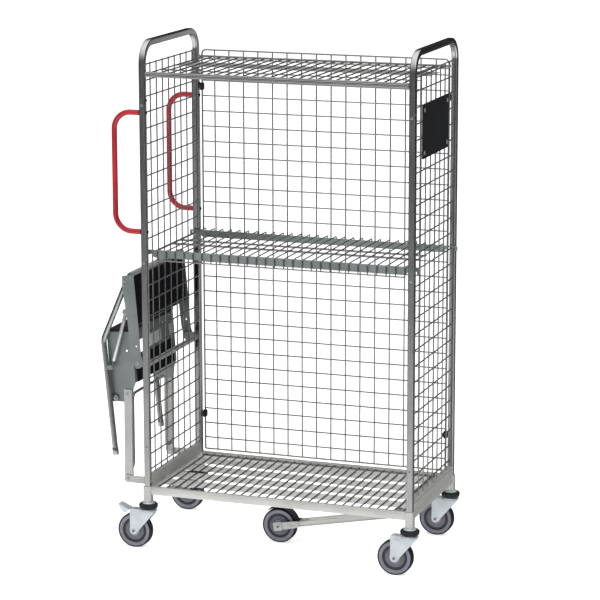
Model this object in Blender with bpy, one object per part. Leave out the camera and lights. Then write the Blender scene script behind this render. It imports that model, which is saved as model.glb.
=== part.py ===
"""Order-picking roll cage: three mesh shelves, four swivel castors, a sprung centre wheel,
two pull handles and a two-step ladder that folds up against the left end.

Lengths are in millimetres until they reach Blender, which gets metres.  X runs along the
trolley (the ladder is at -X), Y runs from the open front (-Y) to the mesh back, Z is up
and the floor is at Z = 0.  Coordinates are measured from the middle of the cage, and one
empty shifts everything so that the origin lies under the middle of the whole outline.
"""
import math

import bmesh
import bpy
from mathutils import Vector

MM = 0.001
GAP = 0.3                     # clearance left between touching pieces

# ---- driving dimensions -------------------------------------------------------------
CAGE_SHIFT_X = 76.3           # middle of the cage from the middle of the whole outline
POST_X = 482.0                # post centre lines
POST_Y = 245.0
POST = 22.0                   # square tube of the two end hoops
POST_CORNER = 4.0
HOOP_TOP = 1796.0             # top surface of the end hoops
HOOP_BEND = 69.0              # centre-line radius of their bends

PITCH = 55.0                  # welded mesh: 50 mm openings, 5 mm wires
WIRE = 5.0
MESH_TOP = 1713.0             # centre of the top wire of every mesh panel
MESH_ROWS = 27
BACK_BOTTOM = 238.0           # bottom wire of the back panel
BACK_Y = 248.0
BACK_HALF = 463.0
SIDE_WIRE_SHIFT = 8.0         # the side panels' wires sit this far off the middle

SHELF_PITCH = 33.0            # cross wires of the two upper shelves
TOP_SHELF_Z = 1690.0          # upper face of the top shelf
MID_SHELF_Z = 1071.0          # upper face of the middle shelf
DECK_Z = 222.0                # upper face of the bottom deck
DECK_PITCH = 31.2
DECK_STRIPS = (-141.0, -41.5, 58.0, 157.5)
DECK_STRIP_W = 71.0

RAIL_LOW = 198.0              # base frame: rails 28 mm high on 28 mm corner sockets
RAIL_HIGH = 226.0
SOCKET = 28.0
SOCKET_LOW = 171.0
SOCKET_FLOOR = 190.0
SIDE_RAIL_HIGH = 262.0        # cross bar that closes each end hoop

WHEEL_R = 62.5
WHEEL_W = 30.0
WHEEL_SIDES = 18
TRAIL = 50.0                  # castor axle behind its swivel axis
FORK_TOP = 140.7

HANDLE_R = 10.0               # red pull handles
HANDLE_REACH = 589.0
HANDLE_HIGH = 1549.0
HANDLE_LOW = 1136.0
HANDLE_BEND = 60.0

CENTRE_X = -68.0              # sprung centre wheel
CENTRE_Y = -25.0
ARM_PIVOT = (420.0, 157.0)
ARM_Y = 23.0

FOLD_LEAN = 4.0               # the folded steps lean out by this many degrees
UPPER_PIVOT = (-521.0, 664.0)
LOWER_PIVOT = (-578.0, 232.0)
LINK = (-45.0, 290.0)         # from a fixed pivot to the pivot on the legs, folded
UPPER_TREAD_U = (136.0, 308.0)
LOWER_TREAD_U = (345.0, 434.0)
LOWER_PAN_U = (345.0, 530.0)
UPPER_PAN_V = 5.0             # top face of each step pan, square to the pan
LOWER_PAN_V = 54.0
PAN = 2.5
BAR_Y = (230.0, 234.0)        # upper side bars
LEG_Y = 208.0
LEG_R = 9.75
CHEEK_Y = (188.0, 191.0)      # side plates of the lower step
UPRIGHT_Y = (192.0, 195.0)
BRACKET_Y = (198.0, 202.0)
PIN_R = 5.0
PIN_FIT = 0.3
LEG_BEND = (-660.0, 735.0)
LEG_FOOT = (-620.0, 318.0)
STRUT_TOP = (-571.0, 845.0)
STRUT_LOW = (-630.0, 636.0)
STRUT_Y = -208.0

COLOURS = {
    "zinc": ((0.42, 0.43, 0.42), 0.32, 1.0),
    "chrome": ((0.50, 0.51, 0.51), 0.18, 1.0),
    "steel_sheet": ((0.28, 0.30, 0.30), 0.42, 0.9),
    "bright_zinc": ((0.62, 0.66, 0.67), 0.30, 1.0),
    "red": ((0.55, 0.01, 0.02), 0.35, 0.0),
    "black": ((0.012, 0.012, 0.014), 0.55, 0.0),
    "tyre": ((0.012, 0.012, 0.014), 0.65, 0.0),
    "hub": ((0.16, 0.16, 0.18), 0.45, 0.0),
}


# ---- building blocks ----------------------------------------------------------------
def clear_scene():
    for old in list(bpy.data.objects):
        bpy.data.objects.remove(old, do_unlink=True)


def material(name):
    found = bpy.data.materials.get(name)
    if found:
        return found
    colour, roughness, metallic = COLOURS[name]
    made = bpy.data.materials.new(name)
    made.use_nodes = True
    shader = made.node_tree.nodes["Principled BSDF"]
    shader.inputs["Base Color"].default_value = (*colour, 1.0)
    shader.inputs["Roughness"].default_value = roughness
    shader.inputs["Metallic"].default_value = metallic
    return made


def empty(name, place=(0, 0, 0)):
    made = bpy.data.objects.new(name, None)
    bpy.context.collection.objects.link(made)
    made.parent = CAGE
    made.location = Vector(place) * MM
    return made


def add(name, mesh_data, finish, at=(0, 0, 0), smooth=False):
    """Make an object from a bmesh in millimetres; its origin goes to the point `at`."""
    for vert in mesh_data.verts:
        vert.co = (vert.co - Vector(at)) * MM
    bmesh.ops.recalc_face_normals(mesh_data, faces=mesh_data.faces)
    mesh = bpy.data.meshes.new(name)
    mesh_data.to_mesh(mesh)
    mesh_data.free()
    made = bpy.data.objects.new(name, mesh)
    bpy.context.collection.objects.link(made)
    made.parent = CAGE
    made.location = Vector(at) * MM
    mesh.materials.append(material(finish))
    if smooth:
        mesh.shade_smooth()
        mesh.set_sharp_from_angle(angle=math.radians(35))
    return made


def helper(shape, at=(0, 0, 0)):
    """A tool for a Boolean: it stays out of the model."""
    made = add("tool", shape, "zinc", at)
    made.hide_render = True
    made.display_type = "WIRE"
    return made


def boolean(target, shape, operation, at=(0, 0, 0)):
    step = target.modifiers.new(operation.lower(), "BOOLEAN")
    step.operation = operation
    step.solver = "EXACT"
    step.object = helper(shape, at)
    return target


def box(low, high):
    made = bmesh.new()
    bmesh.ops.create_cube(made, size=1.0)
    for vert in made.verts:
        for axis in range(3):
            vert.co[axis] = high[axis] if vert.co[axis] > 0 else low[axis]
    return made


def prism(outline, axis, low, high):
    """Extrude a closed outline of (a, b) points along X, Y or Z."""
    def place(a, b, c):
        return {"X": (c, a, b), "Y": (a, c, b), "Z": (a, b, c)}[axis]
    made = bmesh.new()
    near = [made.verts.new(place(a, b, low)) for a, b in outline]
    far = [made.verts.new(place(a, b, high)) for a, b in outline]
    made.faces.new(near)
    made.faces.new(far[::-1])
    for i in range(len(outline)):
        j = (i + 1) % len(outline)
        made.faces.new((near[i], near[j], far[j], far[i]))
    return made


def ring_points(radius, sides, turn=0.0):
    return [(radius * math.cos(turn + 2 * math.pi * k / sides),
             radius * math.sin(turn + 2 * math.pi * k / sides)) for k in range(sides)]


def cylinder(radius, sides, axis, low, high, centre):
    """A cylinder along an axis; `centre` is its place in the other two directions."""
    outline = [(centre[0] + a, centre[1] + b) for a, b in ring_points(radius, sides, 0.13)]
    return prism(outline, axis, low, high)


def lathe(profile, sides, axis, centre, closed=False, turn=0.0):
    """Turn (radius, height) points about an axis through `centre`.

    An open profile starts and ends on the axis; a closed one makes a ring.
    """
    made = bmesh.new()
    rings = []
    for radius, height in profile:
        if radius < 1e-6:
            spots = [(0.0, 0.0)]
        else:
            spots = ring_points(radius, sides, turn)
        ring = []
        for a, b in spots:
            local = {"Y": (a, height, b), "Z": (a, b, height)}[axis]
            ring.append(made.verts.new(Vector(local) + Vector(centre)))
        rings.append(ring)
    pairs = list(zip(rings, rings[1:]))
    if closed:
        pairs.append((rings[-1], rings[0]))
    for one, two in pairs:
        for k in range(sides):
            n = (k + 1) % sides
            if len(one) == 1:
                made.faces.new((one[0], two[k], two[n]))
            elif len(two) == 1:
                made.faces.new((one[k], two[0], one[n]))
            else:
                made.faces.new((one[k], two[k], two[n], one[n]))
    return made


def rounded_path(corners, radius, steps=4):
    """A flat path through the corners, with each inner corner turned into an arc."""
    points = [Vector(corners[0])]
    for before, corner, after in zip(corners, corners[1:], corners[2:]):
        corner = Vector(corner)
        back = (Vector(before) - corner).normalized()
        ahead = (Vector(after) - corner).normalized()
        half = back.angle(ahead) / 2
        reach = radius / math.tan(half)
        centre = corner + (back + ahead).normalized() * radius / math.sin(half)
        start = corner + back * reach - centre
        stop = corner + ahead * reach - centre
        sweep_angle = start.angle(stop)
        for k in range(steps + 1):
            t = k / steps
            blend = (start * math.sin((1 - t) * sweep_angle) + stop * math.sin(t * sweep_angle))
            points.append(centre + blend / math.sin(sweep_angle))
    points.append(Vector(corners[-1]))
    return points


def sweep(path, section, across):
    """Carry a section of (out, across) points along a flat path, mitred at its bends."""
    across = Vector(across)
    made = bmesh.new()
    rings = []
    for k, point in enumerate(path):
        before = (point - path[k - 1]).normalized() if k else None
        after = (path[k + 1] - point).normalized() if k + 1 < len(path) else None
        along = ((before or after) + (after or before)).normalized()
        out = along.cross(across)
        stretch = 1.0 / along.dot(before or after)
        rings.append([made.verts.new(point + out * a * stretch + across * b) for a, b in section])
    for one, two in zip(rings, rings[1:]):
        for k in range(len(section)):
            n = (k + 1) % len(section)
            made.faces.new((one[k], one[n], two[n], two[k]))
    made.faces.new(rings[0])
    made.faces.new(rings[-1][::-1])
    return made


def square_section(size, corner):
    half = size / 2
    inner = half - corner
    return [(half, -inner), (half, inner), (inner, half), (-inner, half),
            (-half, inner), (-half, -inner), (-inner, -half), (inner, -half)]


def lattice(columns, rows, u_range, v_range, width, axis, low, high):
    """A flat grille of crossing bars: columns at u, rows at v, cut at the two ranges."""
    def lines(centres, limits):
        cuts = set(limits)
        for c in centres:
            cuts.update((max(c - width / 2, limits[0]), min(c + width / 2, limits[1])))
        return sorted(cuts)

    def on_bar(centres, a, b):
        middle = (a + b) / 2
        return any(abs(middle - c) < width / 2 for c in centres)

    us = lines(columns, u_range)
    vs = lines(rows, v_range)
    made = bmesh.new()
    corners = {}

    def corner(i, j, depth):
        key = (i, j, depth)
        if key not in corners:
            place = {"X": (depth, us[i], vs[j]), "Y": (us[i], depth, vs[j]),
                     "Z": (us[i], vs[j], depth)}[axis]
            corners[key] = made.verts.new(place)
        return corners[key]

    filled = set()
    for i in range(len(us) - 1):
        for j in range(len(vs) - 1):
            if on_bar(columns, us[i], us[i + 1]) or on_bar(rows, vs[j], vs[j + 1]):
                filled.add((i, j))
    for i, j in sorted(filled):
        loop = ((i, j), (i + 1, j), (i + 1, j + 1), (i, j + 1))
        for depth in (low, high):
            made.faces.new([corner(a, b, depth) for a, b in loop])
        neighbours = ((i, j - 1), (i + 1, j), (i, j + 1), (i - 1, j))
        for side, other in enumerate(neighbours):
            if other not in filled:
                (a, b), (c, d) = loop[side], loop[(side + 1) % 4]
                made.faces.new((corner(a, b, low), corner(c, d, low),
                                corner(c, d, high), corner(a, b, high)))
    return made


# ---- the cage -----------------------------------------------------------------------
def end_hoop(name, side):
    """One bent square tube: a front post, a back post and the top bar between them."""
    x = side * POST_X
    top = HOOP_TOP - POST / 2
    foot = SOCKET_FLOOR + GAP
    corners = ((x, -POST_Y, foot), (x, -POST_Y, top), (x, POST_Y, top), (x, POST_Y, foot))
    path = rounded_path(corners, HOOP_BEND)
    add(name, sweep(path, square_section(POST, POST_CORNER), (1, 0, 0)), "chrome", smooth=True)


def side_rail(name, side):
    """The bar that closes an end hoop at the bottom, welded between its posts."""
    inner = POST_Y - POST / 2 - GAP
    outer_x = POST_X + POST / 2 - 1.0
    inner_x = POST_X - POST / 2 + 1.0
    low_x, high_x = sorted((side * outer_x, side * inner_x))
    shape = box((low_x, -inner, RAIL_HIGH + GAP), (high_x, inner, SIDE_RAIL_HIGH))
    add(name, shape, "zinc")


def side_mesh(name, side):
    """Welded mesh between two posts, with only some of its wires kept, as square bars."""
    inner = POST_Y - POST / 2 - GAP
    columns = [side * SIDE_WIRE_SHIFT + PITCH * k for k in (-3, 0, 3)]
    rows = [MESH_TOP - PITCH * k for k in range(0, MESH_ROWS, 2)]
    span = (SIDE_RAIL_HIGH + GAP, MESH_TOP + WIRE / 2)
    middle = side * POST_X
    shape = lattice(columns, rows, (-inner, inner), span, WIRE, "X", middle - WIRE, middle + WIRE)
    add(name, shape, "zinc")


def back_mesh():
    edge = BACK_HALF - WIRE / 2
    columns = [-edge] + [PITCH * (k - 7.5) for k in range(0, 16, 3)] + [edge]
    rows = [MESH_TOP - PITCH * k for k in range(0, MESH_ROWS - 1, 3)] + [BACK_BOTTOM]
    span = (BACK_BOTTOM - WIRE / 2, MESH_TOP + WIRE / 2)
    shape = lattice(columns, rows, (-BACK_HALF, BACK_HALF), span, WIRE, "Y",
                    BACK_Y - WIRE, BACK_Y + WIRE)
    add("back_mesh", shape, "zinc")


def base_frame():
    """Four rails welded to the sockets that take the posts and the castors."""
    rail_y = POST_Y + SOCKET / 2 - 4.0
    rail_in = rail_y - 16.0
    rail_x = POST_X + POST / 2
    rail_in_x = rail_x - 20.0
    outer = [(-rail_x, -rail_y), (rail_x, -rail_y), (rail_x, rail_y), (-rail_x, rail_y)]
    frame = add("base_frame", prism(outer, "Z", RAIL_LOW, RAIL_HIGH), "zinc")
    hole = box((-rail_in_x, -rail_in, RAIL_LOW - 5), (rail_in_x, rail_in, RAIL_HIGH + 5))
    boolean(frame, hole, "DIFFERENCE")
    half = SOCKET / 2
    pocket = POST / 2 + GAP
    for x in (-POST_X, POST_X):
        for y in (-POST_Y, POST_Y):
            boolean(frame, box((x - half, y - half, SOCKET_LOW), (x + half, y + half, RAIL_HIGH - 0.5)),
                    "UNION")
            boolean(frame, box((x - pocket, y - pocket, SOCKET_FLOOR),
                               (x + pocket, y + pocket, RAIL_HIGH + 5)), "DIFFERENCE")
            boolean(frame, cylinder(6.4, 12, "Z", SOCKET_LOW - 5, SOCKET_FLOOR - 3, (x, y)),
                    "DIFFERENCE")


def base_deck():
    """Long flat strips with wires across them, lying inside the base frame."""
    half_x = POST_X - SOCKET / 2 - GAP
    end_x = POST_X + POST / 2 - 20.0 - GAP
    half_y = POST_Y + SOCKET / 2 - 4.0 - 16.0 - GAP
    columns = [DECK_PITCH * (k - 14.5) for k in range(0, 30, 5)] + [DECK_PITCH * 14.5]
    wires = lattice(columns, (-half_y + 3, half_y - 3), (-half_x, half_x), (-half_y, half_y),
                    6.0, "Z", DECK_Z - 5.0, DECK_Z)
    deck = add("base_deck", wires, "zinc")
    for y in DECK_STRIPS:
        strip = box((-end_x, y - DECK_STRIP_W / 2, DECK_Z - 7.0),
                    (end_x, y + DECK_STRIP_W / 2, DECK_Z - 2.0))
        boolean(deck, strip, "UNION")


def top_shelf():
    half_x = POST_X - POST / 2 - 3.0
    half_y = BACK_Y - WIRE - 3.0
    columns = [SHELF_PITCH * (k - 13.5) for k in (0, 4, 8, 12, 15, 19, 23, 27)]
    rows = (-half_y + 3.0, -85.0, 85.0, half_y - 3.0)
    deck = lattice(columns, rows, (-half_x, half_x), (-half_y, half_y), 6.0, "Z",
                   TOP_SHELF_Z - 9.0, TOP_SHELF_Z)
    add("top_shelf_deck", deck, "zinc")
    end = POST_X - POST / 2 - GAP
    rod = 5.0
    upper = TOP_SHELF_Z - rod + 2.0
    lower = upper - 2 * rod + 0.6
    y = -POST_Y - 5.0
    rail = add("top_shelf_front_rail", cylinder(rod, 10, "X", -end, end, (y, upper)), "chrome",
               smooth=True)
    boolean(rail, cylinder(rod, 10, "X", -end, end, (y, lower)), "UNION")


def mid_shelf():
    half_x = 455.0
    front = -225.0
    back = 224.0
    columns = [SHELF_PITCH * (k - 13.5) for k in (0, 4, 8, 12, 15, 19, 23, 27)]
    rows = (front + 4.6, -77.0, 77.0, back - 4.6)
    deck = lattice(columns, rows, (-half_x, half_x), (front + 1.6, back - 1.6), 6.0, "Z",
                   MID_SHELF_Z - 9.0, MID_SHELF_Z)
    add("mid_shelf_deck", deck, "zinc")
    for name, y, high in (("mid_shelf_front_strip", front, MID_SHELF_Z),
                          ("mid_shelf_back_strip", back, MID_SHELF_Z - 9.0 - GAP)):
        low = high - 25.0
        strip = [(-half_x, low), (half_x, low), (half_x + 12, MID_SHELF_Z - 14.5),
                 (POST_X + 12, MID_SHELF_Z - 14.5), (POST_X + 12, MID_SHELF_Z - 27),
                 (POST_X + 22, MID_SHELF_Z - 27), (POST_X + 22, high), (half_x + 4, high)]
        mirrored = [(-a, b) for a, b in strip[:1:-1]]
        add(name, prism(strip + mirrored, "Y", y - 1.2, y + 1.2), "zinc")


def pull_handle(name, side):
    """A red D-shaped tube, flattened against the post at both ends."""
    y = side * POST_Y
    face = -(POST_X + POST / 2) - GAP
    corners = ((face, y, HANDLE_HIGH), (-HANDLE_REACH, y, HANDLE_HIGH),
               (-HANDLE_REACH, y, HANDLE_LOW), (face, y, HANDLE_LOW))
    shape = sweep(rounded_path(corners, HANDLE_BEND), ring_points(HANDLE_R, 10), (0, 1, 0))
    add(name, shape, "red", smooth=True)


def label_plate():
    x = POST_X + WIRE + GAP
    outline = [(-158, 1430), (-152, 1424), (141, 1424), (147, 1430),
               (147, 1602), (141, 1608), (-152, 1608), (-158, 1602)]
    add("label_plate", prism(outline, "X", x, x + 2.5), "black")


# ---- castors ------------------------------------------------------------------------
def wheel(prefix, x, y, z=WHEEL_R):
    """A grey hub with a black tyre; flats of the tyre face straight down."""
    half = WHEEL_W / 2
    turn = (1.5 + 1.0 / WHEEL_SIDES) * math.pi
    outer = WHEEL_R / math.cos(math.pi / WHEEL_SIDES)
    seat = 55.0
    centre = (x, y, z)
    tyre = [(seat, -half + 3), (outer - 3, -half), (outer, -half + 4), (outer, half - 4),
            (outer - 3, half), (seat, half - 3)]
    add(prefix + "_tyre", lathe(tyre, WHEEL_SIDES, "Y", centre, True, turn), "tyre", centre, True)
    rim = seat - GAP
    bore = 4.0 + GAP
    hub = [(bore, -half - 1), (14, -half - 1), (42, -half + 7), (rim, -half + 3.2),
           (rim, half - 3.2), (42, half - 7), (14, half + 1), (bore, half + 1)]
    add(prefix + "_hub", lathe(hub, WHEEL_SIDES, "Y", centre, True, turn), "hub", centre, True)
    return centre


def axle(name, centre, reach):
    x, y, z = centre
    profile = [(0, y - reach - 4), (6.5, y - reach - 4), (6.5, y - reach), (4, y - reach),
               (4, y + reach), (6.5, y + reach), (6.5, y + reach + 4), (0, y + reach + 4)]
    add(name, lathe(profile, 10, "Y", (x, 0, z), False, 0.1), "bright_zinc", centre)


def castor_head(name, x, y):
    """Bumper ring round the swivel race, with the stud that goes up into the socket."""
    top = SOCKET_LOW - GAP
    profile = [(0, top + 13), (6, top + 13), (6, top), (19, top), (31, top - 5), (34, top - 9),
               (34, top - 20), (31, top - 24), (17, top - 24), (17, FORK_TOP + GAP),
               (0, FORK_TOP + GAP)]
    add(name, lathe(profile, 16, "Z", (x, y, 0)), "black", (x, y, 0), True)


def castor_fork(name, x, y):
    """Crown plate with two tapered cheeks that carry the axle behind the swivel axis."""
    inner = WHEEL_W / 2 + 3.0
    outer = inner + 3.0
    axle_x = x - TRAIL
    rear = axle_x - 14
    crown = [(rear, y - outer), (x + 22, y - outer), (x + 29, y - 12), (x + 29, y + 12),
             (x + 22, y + outer), (rear, y + outer)]
    fork = add(name, prism(crown, "Z", FORK_TOP - 5.0, FORK_TOP), "bright_zinc", (x, y, 0))
    outline = [(rear, FORK_TOP - 1), (rear, 60), (axle_x - 11, 54), (axle_x - 5, 50),
               (axle_x + 4, 50), (axle_x + 9, 54), (x + 22, 130), (x + 22, FORK_TOP - 1)]
    for side in (-1, 1):
        low, high = sorted((y + side * inner, y + side * outer))
        boolean(fork, prism(outline, "Y", low, high), "UNION", (x, y, 0))
    bore = cylinder(4.0 + PIN_FIT, 12, "Y", y - 40, y + 40, (axle_x, WHEEL_R))
    boolean(fork, bore, "DIFFERENCE", (x, y, 0))


def brake_pedal(name, x, y):
    """Foot lever hinged behind the fork; it slopes up and out over the wheel."""
    axle_x = x - TRAIL
    hinge = (axle_x - 20.0, y, 136.5)
    outline = [(axle_x - 60, 157), (axle_x - 56, 147), (axle_x - 40, 125.5),
               (axle_x - 27, 128.5), (axle_x - 17, 138)]
    add(name, prism(outline, "Y", y - 19, y + 19), "bright_zinc", hinge)


def castor(tag, x, y, braked):
    prefix = "castor_" + tag
    castor_head(prefix + "_head", x, y)
    castor_fork(prefix + "_fork", x, y)
    centre = wheel(prefix, x - TRAIL, y)
    axle(prefix + "_axle", centre, WHEEL_W / 2 + 6.0 + GAP)
    if braked:
        brake_pedal(prefix + "_brake_pedal", x, y)


# ---- sprung centre wheel --------------------------------------------------------------
def centre_wheel():
    centre = wheel("centre_wheel", CENTRE_X, CENTRE_Y)
    axle("centre_wheel_axle", centre, ARM_Y + 4.0)
    pivot_x, pivot_z = ARM_PIVOT
    slope = Vector((pivot_x - CENTRE_X, pivot_z - WHEEL_R)).normalized()
    normal = Vector((-slope.y, slope.x))
    axle_point = Vector((CENTRE_X, WHEEL_R))

    def bar(start, stop, half):
        ends = (axle_point + slope * start, axle_point + slope * stop)
        return [tuple(ends[0] - normal * half), tuple(ends[1] - normal * half),
                tuple(ends[1] + normal * half), tuple(ends[0] + normal * half)]

    length = (Vector(ARM_PIVOT) - axle_point).length
    at = (pivot_x, CENTRE_Y, pivot_z)
    near, far = CENTRE_Y - ARM_Y, CENTRE_Y + ARM_Y
    arm = add("centre_wheel_arm", prism(bar(-17, length + 12, 9), "Y", near - 3, near + 3),
              "zinc", at)
    boolean(arm, prism(bar(-17, length + 12, 9), "Y", far - 3, far + 3), "UNION", at)
    boolean(arm, prism(bar(length - 70, length - 50, 6), "Y", near, far), "UNION", at)
    boolean(arm, prism(bar(84, 100, 6), "Y", near, far), "UNION", at)
    for place, radius in ((axle_point, 4.0), (Vector(ARM_PIVOT), PIN_R)):
        hole = cylinder(radius + PIN_FIT, 12, "Y", near - 17, far + 17, tuple(place))
        boolean(arm, hole, "DIFFERENCE", at)

    inner, outer = 66.0, 70.0
    arc = [math.radians(a) for a in range(125, 19, -15)]
    outline = [(CENTRE_X + outer * math.cos(a), WHEEL_R + outer * math.sin(a)) for a in arc]
    outline += [(CENTRE_X + 75, 90), (CENTRE_X + 71, 82)]
    outline += [(CENTRE_X + inner * math.cos(a), WHEEL_R + inner * math.sin(a)) for a in arc[::-1]]
    add("centre_wheel_guard", prism(outline, "Y", CENTRE_Y - 19, CENTRE_Y + 19), "black")


def centre_wheel_hanger():
    """Cross bar between the long rails, with two ears and the pin of the sprung arm."""
    x, z = ARM_PIVOT
    inner = POST_Y + SOCKET / 2 - 4.0 - 16.0 - GAP
    hanger = add("centre_wheel_hanger", box((x - 15, -inner, RAIL_LOW), (x + 15, inner, RAIL_LOW + 12)),
                 "zinc")
    for side in (-1, 1):
        low, high = sorted((CENTRE_Y + side * (ARM_Y + 4.0), CENTRE_Y + side * (ARM_Y + 8.0)))
        ear = [(x - 15, RAIL_LOW + 5), (x - 10, z - 12), (x + 10, z - 12), (x + 15, RAIL_LOW + 5)]
        boolean(hanger, prism(ear, "Y", low, high), "UNION")
    reach = ARM_Y + 11.0
    boolean(hanger, cylinder(PIN_R, 12, "Y", CENTRE_Y - reach, CENTRE_Y + reach, ARM_PIVOT), "UNION")


# ---- folding ladder -------------------------------------------------------------------
def step_frame_point(pivot, u, v):
    """A point given along (u) and square to (v) a folded step, in X and Z."""
    lean = math.radians(FOLD_LEAN)
    x = pivot[0] - u * math.sin(lean) + v * math.cos(lean)
    z = pivot[1] + u * math.cos(lean) + v * math.sin(lean)
    return x, z


def slab(pivot, u_range, v_range, y_range):
    outline = [step_frame_point(pivot, u, v) for u, v in
               ((u_range[0], v_range[0]), (u_range[1], v_range[0]),
                (u_range[1], v_range[1]), (u_range[0], v_range[1]))]
    return prism(outline, "Y", *y_range)


def both_sides(y_range):
    low, high = y_range
    return ((-high, -low), (low, high))


def link_end(pivot):
    return pivot[0] + LINK[0], pivot[1] + LINK[1]


def ladder_cross_rail():
    """Bar between the left posts, with an ear and a pivot stub at each end."""
    inner = POST_Y - POST / 2 - GAP
    outer_x = -(POST_X + POST / 2) + 0.5
    inner_x = outer_x + 4.0
    rail = add("ladder_cross_rail", box((outer_x, -inner, 648), (inner_x, inner, 668)), "zinc")
    x, z = UPPER_PIVOT
    ear = [(inner_x, 650), (inner_x, 682), (x - 4, z + 13), (x - 13, z + 4), (x - 13, z - 6),
           (x - 6, z - 13)]
    for low, high in both_sides((222.0, 226.0)):
        boolean(rail, prism(ear, "Y", low, high), "UNION")
    for low, high in both_sides((224.0, 237.0)):
        boolean(rail, cylinder(PIN_R, 12, "Y", low, high, UPPER_PIVOT), "UNION")


def ladder_bracket(name, side):
    """Flat bracket on the base frame that carries the lower pivot."""
    x, z = LOWER_PIVOT
    face = -(POST_X + POST / 2) - GAP
    low, high = sorted((side * BRACKET_Y[0], side * BRACKET_Y[1]))
    outline = [(face, z - 13), (face, z + 12), (x - 6, z + 12), (x - 14, z + 4), (x - 14, z - 6),
               (x - 6, z - 13)]
    bracket = add(name, prism(outline, "Y", low, high), "zinc")
    plate_low, plate_high = sorted((side * 176.0, side * 224.0))
    boolean(bracket, box((face - 3.0, plate_low, 203), (face, plate_high, 254)), "UNION")
    low, high = sorted((side * (UPRIGHT_Y[0] - 2.0), side * (BRACKET_Y[0] + 1.0)))
    boolean(bracket, cylinder(PIN_R, 12, "Y", low, high, LOWER_PIVOT), "UNION")


def upper_step():
    """Two side bars joined by the step pan and its front apron."""
    at = (UPPER_PIVOT[0], 0, UPPER_PIVOT[1])
    bar = [(-575, 972), (-532, 981), (-529, 955), (-512, 802), (-506, 700), (-500, 668),
           (-502, 656), (-512, 646), (-526, 645), (-536, 656), (-545, 700), (-557, 812),
           (-579, 826), (-582, 840), (-574, 848), (-563, 850), (-575, 930)]
    frame = add("upper_step_frame", prism(bar, "Y", BAR_Y[0], BAR_Y[1]), "steel_sheet", at)
    boolean(frame, prism(bar, "Y", -BAR_Y[1], -BAR_Y[0]), "UNION", at)
    across = (-BAR_Y[0] - 1.0, BAR_Y[0] + 1.0)
    pan_v = (UPPER_PAN_V - PAN, UPPER_PAN_V)
    pan_u = (UPPER_TREAD_U[0] - 4.0, UPPER_TREAD_U[1] + 12.0)
    boolean(frame, slab(UPPER_PIVOT, pan_u, pan_v, across), "UNION", at)
    apron_u = (pan_u[1] - PAN, pan_u[1])
    boolean(frame, slab(UPPER_PIVOT, apron_u, (-13.0, UPPER_PAN_V - 1.0), across), "UNION", at)
    rear_u = (pan_u[0], pan_u[0] + PAN)
    boolean(frame, slab(UPPER_PIVOT, rear_u, (-13.0, UPPER_PAN_V - 1.0), across), "UNION", at)
    for low, high in both_sides((LEG_Y - LEG_R - 2.0, BAR_Y[0] + 1.0)):
        boolean(frame, cylinder(PIN_R, 12, "Y", low, high, link_end(UPPER_PIVOT)), "UNION", at)
    stub = cylinder(3.5, 10, "Y", -BAR_Y[0] - 1.0, STRUT_Y + 6.0, STRUT_TOP)
    boolean(frame, stub, "UNION", at)
    hole = cylinder(PIN_R + PIN_FIT, 12, "Y", -250, 250, UPPER_PIVOT)
    boolean(frame, hole, "DIFFERENCE", at)
    tread = slab(UPPER_PIVOT, UPPER_TREAD_U, (UPPER_PAN_V + GAP, UPPER_PAN_V + 2.5),
                 (-BAR_Y[0] + 5.0, BAR_Y[0] - 5.0))
    add("upper_tread", tread, "black", at)


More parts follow.
